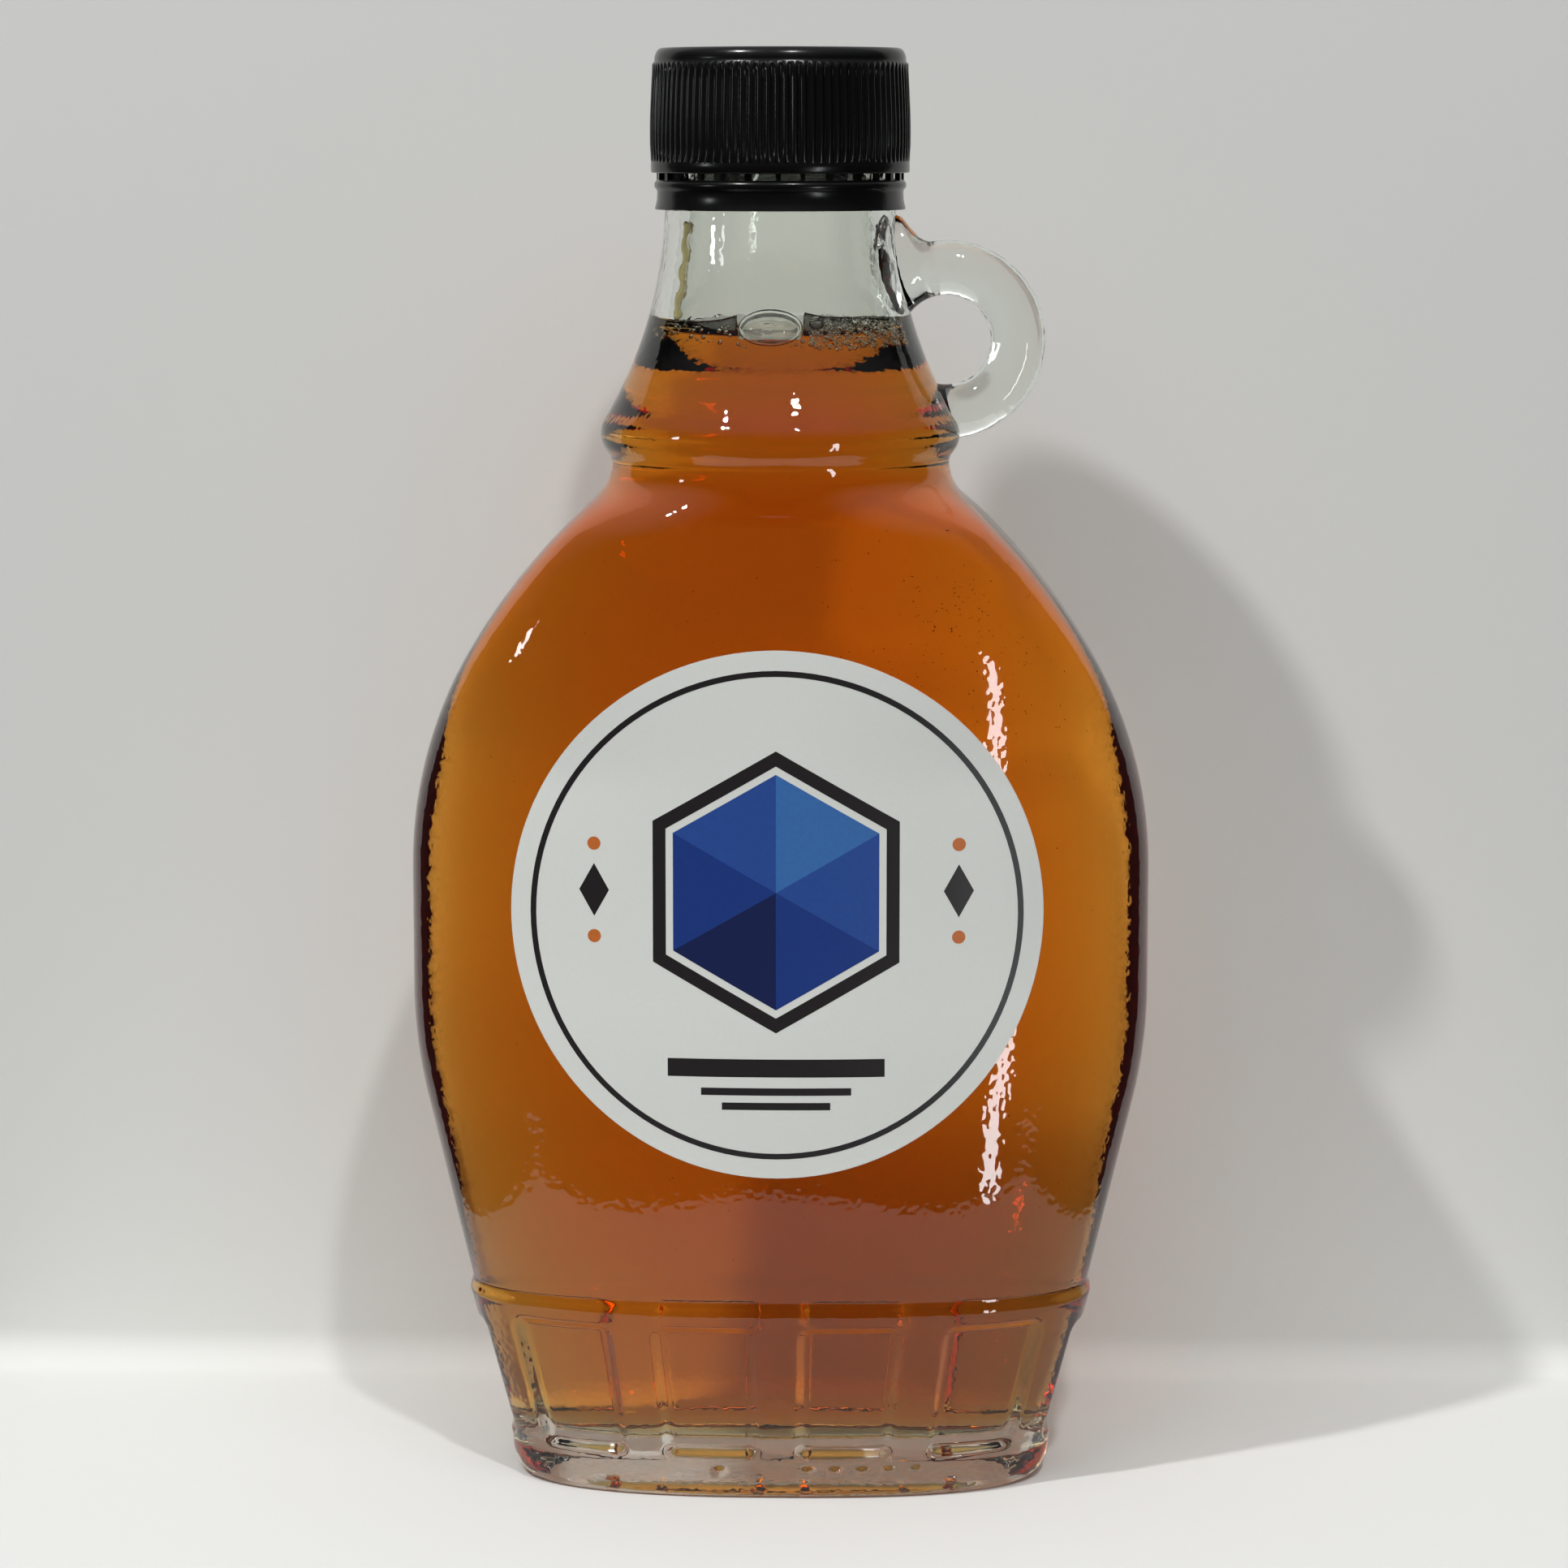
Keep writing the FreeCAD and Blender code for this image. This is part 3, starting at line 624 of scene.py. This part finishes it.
def syrup_body(body, surface):
    """The syrup, just into the wall all round, under a free surface that climbs the glass."""
    floor = cavity_ring(CAVITY_BOTTOM, 0.0, SYRUP_COLUMNS)
    rings = [floor * np.array([0.4, 0.4, 1.0]) - np.array([0, 0, INTO_WALL])]
    for z in wet_levels()[:-1]:
        sunk = INTO_WALL if z < CAVITY_BOTTOM + 1.0 else 0.0
        rings.append(cavity_ring(z, INTO_WALL, SYRUP_COLUMNS) - np.array([0, 0, sunk]))
    points, faces = tube_mesh(rings + surface_rings(0.03))
    volume_faces = len(faces)
    sheet_points, sheet_faces = tube_mesh(surface_rings(0.0), False, True)
    faces += [tuple(i + len(points) for i in face) for face in sheet_faces]
    syrup = mesh_piece("syrup_body", points + sheet_points, faces, [body, surface])
    slots = [0] * volume_faces + [1] * len(sheet_faces)
    syrup.data.polygons.foreach_set("material_index", slots)
    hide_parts("syrup")
    return syrup


def ball(points, faces, centre, radii, turned_in, keep=None):
    """Adds an ellipsoid's skin to the lists; turned_in makes it a hollow in what surrounds it."""
    edit = bmesh.new()
    bmesh.ops.create_icosphere(edit, subdivisions=3 if max(radii) > 0.8 else 2, radius=1.0)
    start = len(points)
    points += [tuple(c + v.co[k] * radii[k] for k, c in enumerate(centre)) for v in edit.verts]
    for face in edit.faces:
        if keep and not keep(centre[2] + face.calc_center_median().z * radii[2]):
            continue
        loop = [start + v.index for v in face.verts]
        faces.append(tuple(reversed(loop)) if turned_in else tuple(loop))
    edit.free()


def bubble(points, faces, centre, radii, skin):
    """A bubble's film: a hollow, and above the syrup the outer skin round it."""
    ball(points, faces, centre, tuple(r - skin for r in radii), True)
    ball(points, faces, centre, radii, False, lambda height: height > FILL_HEIGHT - 0.2)


def bubble_rim(points, faces, wall_r):
    """The rim of syrup that the large bubble draws up on the glass, thicker along its top."""
    steps, sides = 72, 12
    rim = []
    for i in range(steps):
        turn = math.tau * i / steps
        z = FILL_HEIGHT + 1.55 + 1.85 * math.sin(turn)
        angle = math.radians(BUBBLE_TURN - 90.0) + 3.5 / wall_r * math.cos(turn)
        reach = inner_neck_radius(z) - 0.2
        ring = []
        for k in range(sides):
            round_rim = math.tau * k / sides
            across = (0.3 + 0.16 * max(math.sin(turn), 0.0)) * math.cos(round_rim)
            at = reach + 0.3 * math.sin(round_rim)
            swing = angle + across * math.cos(turn) / wall_r
            ring.append((at * math.cos(swing), at * math.sin(swing), z + across * math.sin(turn)))
        rim.append(ring)
    for ring, following in zip(rim, rim[1:] + rim[:1]):
        start = len(points)
        points += ring + following
        for k in range(sides):
            after = (k + 1) % sides
            faces.append((start + k, start + after, start + sides + after, start + sides + k))


def foam(surface):
    """A large oval bubble at the front of the neck, a smaller one, and froth right of them."""
    wall_r = inner_neck_radius(FILL_HEIGHT + 1.0)
    points, faces = [], []
    small = (4.35, -(wall_r - 1.6), FILL_HEIGHT + 2.0)
    bubble(points, faces, (-0.7, -(wall_r - 2.4), FILL_HEIGHT + 1.3), (3.25, 2.3, 1.95), 0.06)
    bubble(points, faces, small, (0.9, 0.75, 0.75), 0.1)
    bubble_rim(points, faces, wall_r)
    placed = [(*small, 0.8)]
    for _ in range(FROTH_TRIES):
        if len(placed) > FROTH_COUNT:
            break
        dense = random.random() < 0.88
        off_front = random.uniform(16.0, 78.0) if dense else random.uniform(-80.0, 78.0)
        radius = 0.12 + (0.48 if dense else 0.2) * random.random() ** 2.2
        edge = CONTACT + float(contact_rise(math.radians(off_front - 90.0)))
        lowest = FILL_HEIGHT - (1.1 if dense else 0.4)
        z = random.uniform(lowest, edge + (0.25 if dense else -0.8) - radius)
        off_wall = 0.03 + random.random() ** 2.0 * (1.0 if dense else 0.4)
        reach = inner_neck_radius(z) - radius - off_wall
        turn = math.radians(off_front - 90.0)
        x, y = reach * math.cos(turn), reach * math.sin(turn)
        across, up = (off_front - BUBBLE_TURN) / 20.0, (z - FILL_HEIGHT - 1.5) / 2.4
        if math.hypot(across, up) < 1.0:
            continue
        if any(math.dist((x, y, z), other[:3]) < (radius + other[3]) * 0.88 for other in placed):
            continue
        placed.append((x, y, z, radius))
        if z < edge - 0.6:
            ball(points, faces, (x, y, z), (radius,) * 3, True)
        else:
            bubble(points, faces, (x, y, z), (radius,) * 3, 0.2 * radius)
    return mesh_piece("foam_bubbles", points, faces, [surface])


def seeds(material):
    """Tiny specks that cling to the inside of the glass, more of them on the right shoulder."""
    points, faces = [], []
    for _ in range(SPECK_COUNT):
        right = random.random() < 0.55
        z = random.triangular(84.0, 118.0, 108.0) if right else random.uniform(30.0, 119.0)
        edge = half_width(z) - WALL - 1.0
        spread = random.triangular(0.1, 0.97, 0.8) if right else random.uniform(-0.95, 0.97)
        x = spread * edge
        across, deep = exponents(z)
        inner_x, inner_y = half_width(z) - WALL, half_depth(z) - WALL
        side = -1 if random.random() < 0.8 else 1
        y = side * inner_y * max(1.0 - abs(x / inner_x) ** across, 0.0) ** (1 / deep)
        radius = random.uniform(0.04, 0.11)
        start = len(points)
        points += [(x + radius, y, z), (x - radius, y, z), (x, y + radius, z), (x, y - radius, z),
                   (x, y, z + radius), (x, y, z - radius)]
        for a, b in ((0, 2), (2, 1), (1, 3), (3, 0)):
            faces += [(start + a, start + b, start + 4), (start + b, start + a, start + 5)]
    return mesh_piece("seed_specks", points, faces, [material], smooth=False)


def dried_run(material):
    """The thin run of dried syrup down the inside of the neck, at the left."""
    rings = []
    for i in range(31):
        z = 155.2 - 12.0 * i / 30
        turn = math.radians(-152.0 + 3.0 * ease(i, 0, 30) + 1.2 * math.sin(i * 0.7))
        wave = 0.75 + 0.2 * math.sin(i * 0.9) + 0.12 * math.sin(i * 2.3)
        half = wave * (1.0 if 0 < i < 30 else 0.3)
        reach = neck_radius_at(z) - WALL
        ring = []
        for k in range(10):
            around = 2 * math.pi * k / 10
            r = reach - 0.06 - 0.1 * math.cos(around)
            at = turn + half * math.sin(around) / reach
            ring.append((r * math.cos(at), r * math.sin(at), z))
        rings.append(np.array(ring))
    points, faces = tube_mesh(rings)
    return mesh_piece("dried_syrup_run", points, faces, [material])


# ---------------------------------------------------------------- cap and tamper band


def cap_piece(material):
    """Ribbed skirt, smooth flange and a glossy bevelled top, with the hollow under it."""
    per_rib = 8
    columns = RIB_COUNT * per_rib

    def ring(radius, z, ribbed=0.0):
        turns = 2 * math.pi * np.arange(columns) / columns
        phase = (np.arange(columns) % per_rib) / per_rib
        groove = (0.5 - 0.5 * np.cos(2 * math.pi * phase)) ** 1.5
        r = radius - RIB_DEPTH * ribbed * groove
        return np.stack([r * np.cos(turns), r * np.sin(turns), np.full(columns, z)], 1)

    bore = 13.85
    rings = [ring(bore, MOUTH_HEIGHT), ring(bore, CAP_BOTTOM + 0.2), ring(bore + 0.2, CAP_BOTTOM)]
    rings += [ring(CAP_RADIUS - 0.25, CAP_BOTTOM), ring(CAP_RADIUS - 0.1, CAP_BOTTOM + 0.15)]
    rings += [ring(CAP_RADIUS - 0.1, CAP_FLANGE_TOP - 0.15),
              ring(CAP_RADIUS - 0.15, CAP_FLANGE_TOP)]
    for i in range(13):
        share = i / 12
        z = CAP_FLANGE_TOP + 0.1 + (CAP_RIB_TOP - CAP_FLANGE_TOP - 0.1) * share
        radius = CAP_RADIUS - 0.1 * (1 - ease(share, 0.0, 0.2)) - 0.35 * ease(share, 0.3, 1.2)
        rings.append(ring(radius, z, ease(share, -0.02, 0.05) * (1 - ease(share, 0.965, 1.0))))
    top_r = CAP_RIB_TOP_RADIUS - 0.2
    for i in range(9):
        angle = math.radians(90 * i / 8)
        radius = top_r - 1.1 + 1.1 * math.cos(angle) ** 0.8
        rings.append(ring(radius, CAP_RIB_TOP + 0.25 + 1.65 * math.sin(angle)))
    rings += [ring(top_r - 2.2, CAP_TOP), ring(6.0, CAP_TOP)]
    points, faces = tube_mesh(rings)
    cap = mesh_piece("screw_cap", points, faces, [material])
    cap.data.set_sharp_from_angle(angle=math.radians(60))
    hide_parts("cap")
    return cap


def band_piece(material):
    """The tamper band: a bead over a waist that flares at its foot, and bridges up to the cap."""
    columns = 240
    profile = [
        (14.25, BAND_TOP), (14.25, BAND_BOTTOM + 0.1), (14.35, BAND_BOTTOM), (15.1, BAND_BOTTOM),
        (15.18, BAND_BOTTOM + 0.12), (15.05, BAND_BOTTOM + 0.6), (14.93, BAND_BOTTOM + 1.2),
        (14.9, BAND_TOP - 1.5), (14.98, BAND_TOP - 1.2), (15.18, BAND_TOP - 1.0),
        (15.25, BAND_TOP - 0.7),
        (15.2, BAND_TOP - 0.4), (15.05, BAND_TOP - 0.2), (14.85, BAND_TOP),
    ]
    rings = [circle_ring(radius, z, columns) for radius, z in profile]
    points, faces = tube_mesh(rings + [rings[0]], False, False)
    start = len(points)
    count = 28
    for i in range(count):
        turn = 2 * math.pi * (i + random.uniform(-0.12, 0.12)) / count
        half = random.uniform(0.018, 0.03)
        for z in (BAND_TOP - 0.1, CAP_BOTTOM + 0.1):
            for radius, side in ((14.3, -half), (14.95, -half), (14.95, half), (14.3, half)):
                points.append((radius * math.cos(turn + side), radius * math.sin(turn + side), z))
        b = start + 8 * i
        faces += [(b + 3, b + 2, b + 1, b), (b + 4, b + 5, b + 6, b + 7)]
        faces += [(b + k, b + (k + 1) % 4, b + 4 + (k + 1) % 4, b + 4 + k) for k in range(4)]
    band = mesh_piece("tamper_ring", points, faces, [material])
    band.data.set_sharp_from_angle(angle=math.radians(35))
    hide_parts("tamper_band")
    return band


# ---------------------------------------------------------------- label and its print


def on_label(x, z, lift):
    """A point of the label plane laid onto the front face, lift proud of the glass."""
    height = LABEL_HEIGHT + z
    return (x, face_y(x, height) - lift, height)


def label_piece(material):
    """The round paper, curved with the glass, and its edge down to the glass."""
    rings_out, columns = 26, 160
    points, faces = [on_label(0, 0, LABEL_PAPER)], []
    for i in range(1, rings_out + 1):
        radius = LABEL_RADIUS * i / rings_out
        for k in range(columns):
            turn = 2 * math.pi * k / columns
            points.append(on_label(radius * math.cos(turn), radius * math.sin(turn), LABEL_PAPER))
    for k in range(columns):
        turn = 2 * math.pi * k / columns
        points.append(on_label(LABEL_RADIUS * math.cos(turn), LABEL_RADIUS * math.sin(turn), 0.01))
    for k in range(columns):
        faces.append((0, 1 + k, 1 + (k + 1) % columns))
    for i in range(rings_out):
        a, b = 1 + i * columns, 1 + (i + 1) * columns
        faces += [(a + k, b + k, b + (k + 1) % columns, a + (k + 1) % columns)
                  for k in range(columns)]
    paper = mesh_piece("label_paper", points, faces, [material])
    paper.data.set_sharp_from_angle(angle=math.radians(40))
    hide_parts("label")
    return paper


def print_patch(name, loops, material):
    """Printed shapes on the label, each a strip (outer, inner points) or a fan (points, None)."""
    points, faces = [], []
    lift = LABEL_PAPER + 0.015
    for outer, inner in loops:
        start = len(points)
        n = len(outer)
        points += [on_label(x, z, lift) for x, z in outer]
        if inner is None:
            cx = sum(p[0] for p in outer) / n
            cz = sum(p[1] for p in outer) / n
            layers = max(int(max(math.hypot(x - cx, z - cz) for x, z in outer) / 1.5), 1)
            rows = [start]
            for layer in range(1, layers):
                share = 1 - layer / layers
                rows.append(len(points))
                points += [on_label(cx + (x - cx) * share, cz + (z - cz) * share, lift)
                           for x, z in outer]
            hub = len(points)
            points.append(on_label(cx, cz, lift))
            for a, b in zip(rows, rows[1:]):
                faces += [(a + k, a + (k + 1) % n, b + (k + 1) % n, b + k) for k in range(n)]
            faces += [(rows[-1] + k, rows[-1] + (k + 1) % n, hub) for k in range(n)]
            continue
        points += [on_label(x, z, lift) for x, z in inner]
        faces += [(start + k, start + (k + 1) % n, start + n + (k + 1) % n, start + n + k)
                  for k in range(n)]
    patch = mesh_piece(name, points, faces, [material])
    edit = bmesh.new()
    edit.from_mesh(patch.data)
    bmesh.ops.recalc_face_normals(edit, faces=edit.faces)
    for face in edit.faces:
        if face.normal.y > 0:
            face.normal_flip()
    edit.to_mesh(patch.data)
    edit.free()
    return patch


def dense(corners, like=None, step=1.2):
    """A closed outline with extra points on its straight sides, as many as like needs."""
    like = like or corners
    found = []
    sides = zip(corners, corners[1:] + corners[:1], like, like[1:] + like[:1])
    for (x0, z0), (x1, z1), start, end in sides:
        count = max(int(math.dist(start, end) / step), 1)
        found += [(x0 + (x1 - x0) * i / count, z0 + (z1 - z0) * i / count) for i in range(count)]
    return found


def round_outline(cx, cz, radius, count=72):
    turns = [math.tau * k / count for k in range(count)]
    return [(cx + radius * math.cos(turn), cz + radius * math.sin(turn)) for turn in turns]


def hexagon(cx, cz, radius):
    turns = [math.tau * k / 6 for k in range(6)]
    return [(cx + radius * math.sin(turn), cz + radius * math.cos(turn)) for turn in turns]


INKS = {
    "black": (0.017, 0.014, 0.015),
    "sky": (0.045, 0.165, 0.46),
    "blue": (0.024, 0.078, 0.33),
    "deep": (0.012, 0.044, 0.24),
    "navy": (0.008, 0.016, 0.085),
    "orange": (0.60, 0.16, 0.03),
}


def label_print():
    """A plain faceted badge in blues with a black frame, a thin ring, rules and lozenges."""
    inks = {name: ink_material(name, color) for name, color in INKS.items()}
    middle = (0.0, 3.0)
    frame_outer, frame_inner, core = (hexagon(*middle, radius) for radius in (17.0, 15.2, 14.2))
    frame_strip = (dense(frame_outer), dense(frame_inner, frame_outer))
    print_patch("print_frame", [frame_strip], inks["black"])
    shades = ("sky", "blue", "deep", "navy", "deep", "blue")
    for name in ("sky", "blue", "deep", "navy"):
        loops = []
        for k in range(6):
            if shades[k] == name:
                loops.append((dense([core[k], core[(k + 1) % 6], middle]), None))
        print_patch(f"print_{name}", loops, inks[name])
    black = [(round_outline(0, 0, 29.6, 120), round_outline(0, 0, 28.9, 120))]
    for z, half, thick in ((-18.3, 13.0, 1.1), (-21.2, 9.0, 0.45), (-23.0, 6.5, 0.45)):
        bar = [(-half, z - thick), (half, z - thick), (half, z + thick), (-half, z + thick)]
        black.append((dense(bar), None))
    aside = 21.8
    for x in (-aside, aside):
        black.append((dense([(x, 6.2), (x + 1.8, 3.0), (x, -0.2), (x - 1.8, 3.0)]), None))
    print_patch("print_rules", black, inks["black"])
    orange = [(round_outline(x, z, 0.8, 24), None) for x in (-aside, aside) for z in (-2.6, 8.6)]
    print_patch("print_dots", orange, inks["orange"])


# ---------------------------------------------------------------- stage, lamps and camera


def stage_piece(name, points, faces, see_through):
    """A pale surface that turned-over faces, or rays other than the camera's, pass through.

    see_through is the node and its output that tell: Backfacing hides it, Is Camera Ray shows it.
    """
    material, nodes, links, shader = new_material(name)
    shader.inputs["Base Color"].default_value = (0.72, 0.725, 0.70, 1)
    shader.inputs["Roughness"].default_value = 0.9
    shader.inputs["Specular IOR Level"].default_value = 0.0
    clear = nodes.new("ShaderNodeBsdfTransparent")
    choice = nodes.new("ShaderNodeMixShader")
    test = nodes.new(see_through[0])
    links.new(test.outputs[see_through[1]], choice.inputs["Fac"])
    first, second = (shader, clear) if see_through[1] == "Backfacing" else (clear, shader)
    links.new(first.outputs["BSDF"], choice.inputs[1])
    links.new(second.outputs["BSDF"], choice.inputs[2])
    links.new(choice.outputs["Shader"], nodes["Material Output"].inputs["Surface"])
    mesh = bpy.data.meshes.new(name)
    mesh.from_pydata(points, [], faces)
    mesh.materials.append(material)
    mesh.polygons.foreach_set("use_smooth", [True] * len(mesh.polygons))
    mesh.set_sharp_from_angle(angle=math.radians(40))
    piece = bpy.data.objects.new(name, mesh)
    bpy.context.scene.collection.objects.link(piece)


def stage():
    """A pale paper that ends in front of the bottle and turns up into a wall close behind it.

    It lies on a table. The wall shows from its front alone, and the table to the camera alone,
    so that the bottle is seen from every side and reflects the dark room beyond the paper.
    """
    wall_y, front, side, tall, bend = 0.046, -0.092, 0.112, 0.32, 0.005
    profile = [(front, -0.001), (front, 0.0)]
    for i in range(9):
        angle = math.radians(90 * i / 8)
        profile.append((wall_y - bend + bend * math.sin(angle), bend - bend * math.cos(angle)))
    profile.append((wall_y, tall))
    points = [(x, y, z) for x in (-side, side) for y, z in profile]
    n = len(profile)
    faces = [(i, n + i, n + i + 1, i + 1) for i in range(n - 1)]
    stage_piece("backdrop", points, faces, ("ShaderNodeNewGeometry", "Backfacing"))
    reach, below = 0.42, -0.001
    corners = [(x * reach, y * reach, below) for x, y in ((-1, -1), (1, -1), (1, 1), (-1, 1))]
    stage_piece("table", corners, [(0, 1, 2, 3)], ("ShaderNodeLightPath", "Is Camera Ray"))


def lamp(name, turn, rise, distance, width, height, watts, color=(1, 1, 1), round_lamp=False):
    """A soft lamp, seen from the bottle turn degrees right of the front and rise above level."""
    light = bpy.data.lights.new(name, "AREA")
    light.shape = "ELLIPSE" if round_lamp else "RECTANGLE"
    light.size = width
    light.size_y = height
    light.energy = watts
    light.color = color
    thing = bpy.data.objects.new(name, light)
    turn, rise = math.radians(turn), math.radians(rise)
    level = math.cos(rise)
    away = Vector((math.sin(turn) * level, -math.cos(turn) * level, math.sin(rise)))
    thing.location = away * distance + Vector((0.0, 0.0, 0.09))
    thing.rotation_euler = away.to_track_quat("Z", "Y").to_euler()
    bpy.context.scene.collection.objects.link(thing)
    return thing


def room():
    """A dark room under a pale ceiling, pale to the camera and through the glass from behind."""
    world = bpy.data.worlds.new("room")
    world.use_nodes = True
    nodes, links = world.node_tree.nodes, world.node_tree.links
    place = nodes.new("ShaderNodeTexCoord")
    parts = nodes.new("ShaderNodeSeparateXYZ")
    up = nodes.new("ShaderNodeValToRGB")
    up.color_ramp.elements[0].position = 0.35
    up.color_ramp.elements[0].color = (0.030, 0.031, 0.033, 1)
    up.color_ramp.elements[1].position = 0.95
    up.color_ramp.elements[1].color = (0.55, 0.56, 0.57, 1)
    links.new(place.outputs["Generated"], parts.inputs["Vector"])
    links.new(parts.outputs["Z"], up.inputs["Fac"])
    rays = nodes.new("ShaderNodeLightPath")
    forward = nodes.new("ShaderNodeMapRange")
    forward.inputs["From Min"].default_value = -0.2
    forward.inputs["From Max"].default_value = -0.6
    through = nodes.new("ShaderNodeMath")
    through.operation = "MULTIPLY_ADD"
    through.use_clamp = True
    pale = nodes.new("ShaderNodeMix")
    pale.data_type = "RGBA"
    pale.inputs["B"].default_value = (0.60, 0.605, 0.585, 1)
    links.new(parts.outputs["Y"], forward.inputs["Value"])
    links.new(forward.outputs["Result"], through.inputs[0])
    links.new(rays.outputs["Is Transmission Ray"], through.inputs[1])
    links.new(rays.outputs["Is Camera Ray"], through.inputs[2])
    links.new(through.outputs["Value"], pale.inputs["Factor"])
    links.new(up.outputs["Color"], pale.inputs["A"])
    links.new(pale.outputs["Result"], nodes["Background"].inputs["Color"])
    nodes["Background"].inputs["Strength"].default_value = 1.0
    bpy.context.scene.world = world


def lights():
    """Two small lamps over the front, a soft ceiling, two windows seen as streaks, a light pad."""
    lamp("lamp_left", -47.0, 52.0, 1.1, 0.05, 0.05, 5.6, round_lamp=True)
    lamp("lamp_right", 15.0, 52.0, 1.1, 0.05, 0.05, 3.3, round_lamp=True)
    ceiling = lamp("ceiling", 0.0, 55.0, 1.7, 2.0, 1.4, 11.5)
    ceiling.visible_glossy = False
    ceiling.visible_camera = False
    window = lamp("window", 36.5, -15.0, 0.9, 0.055, 0.46, 1.2, (0.95, 0.98, 1.0))
    window.visible_diffuse = False
    window.visible_camera = False
    far_window = lamp("far_window", -68.0, 12.0, 0.9, 0.06, 0.13, 0.5, (0.95, 0.98, 1.0))
    far_window.visible_diffuse = False
    far_window.visible_camera = False
    glow = lamp("light_through_flask", 0.0, 0.0, 1.0, 0.056, 0.056, 0.0045, (1.0, 0.93, 0.8),
                round_lamp=True)
    glow.location = (0.009, 0.035, 0.067)
    glow.rotation_euler = (math.radians(90), 0.0, 0.0)
    glow.visible_camera = False
    glow.visible_transmission = False
    glow.visible_glossy = False


CAMERA_DISTANCE = 0.574
CAMERA_HEIGHT = 0.1673
CAMERA_TURN = math.radians(1.4)
CAMERA_TILT = math.radians(8.03)
CAMERA_ASIDE = 0.00045


def camera():
    """The camera a little right of the front, above the middle of the bottle and tilted down."""
    data = bpy.data.cameras.new("camera")
    data.lens = 108.07
    data.sensor_width = 36.0
    data.clip_start = 0.01
    thing = bpy.data.objects.new("camera", data)
    away = Vector((math.sin(CAMERA_TURN), -math.cos(CAMERA_TURN), 0.0))
    right = Vector((math.cos(CAMERA_TURN), math.sin(CAMERA_TURN), 0.0))
    thing.location = away * CAMERA_DISTANCE + right * CAMERA_ASIDE + Vector((0, 0, CAMERA_HEIGHT))
    thing.rotation_euler = (math.pi / 2 - CAMERA_TILT, 0.0, CAMERA_TURN)
    bpy.context.scene.collection.objects.link(thing)
    bpy.context.scene.camera = thing


# ---------------------------------------------------------------- the whole bottle

camera()
stage()
room()
lights()
bottle_glass(*glass_materials())
syrup, syrup_skin = syrup_materials()
syrup_body(syrup, syrup_skin)
foam(syrup_skin)
seeds(speck_material())
dried_run(dried_material())
black = plastic_material()
cap_piece(black)
band_piece(black)
label_piece(paper_material())
label_print()

bpy.context.scene.view_settings.view_transform = "Standard"
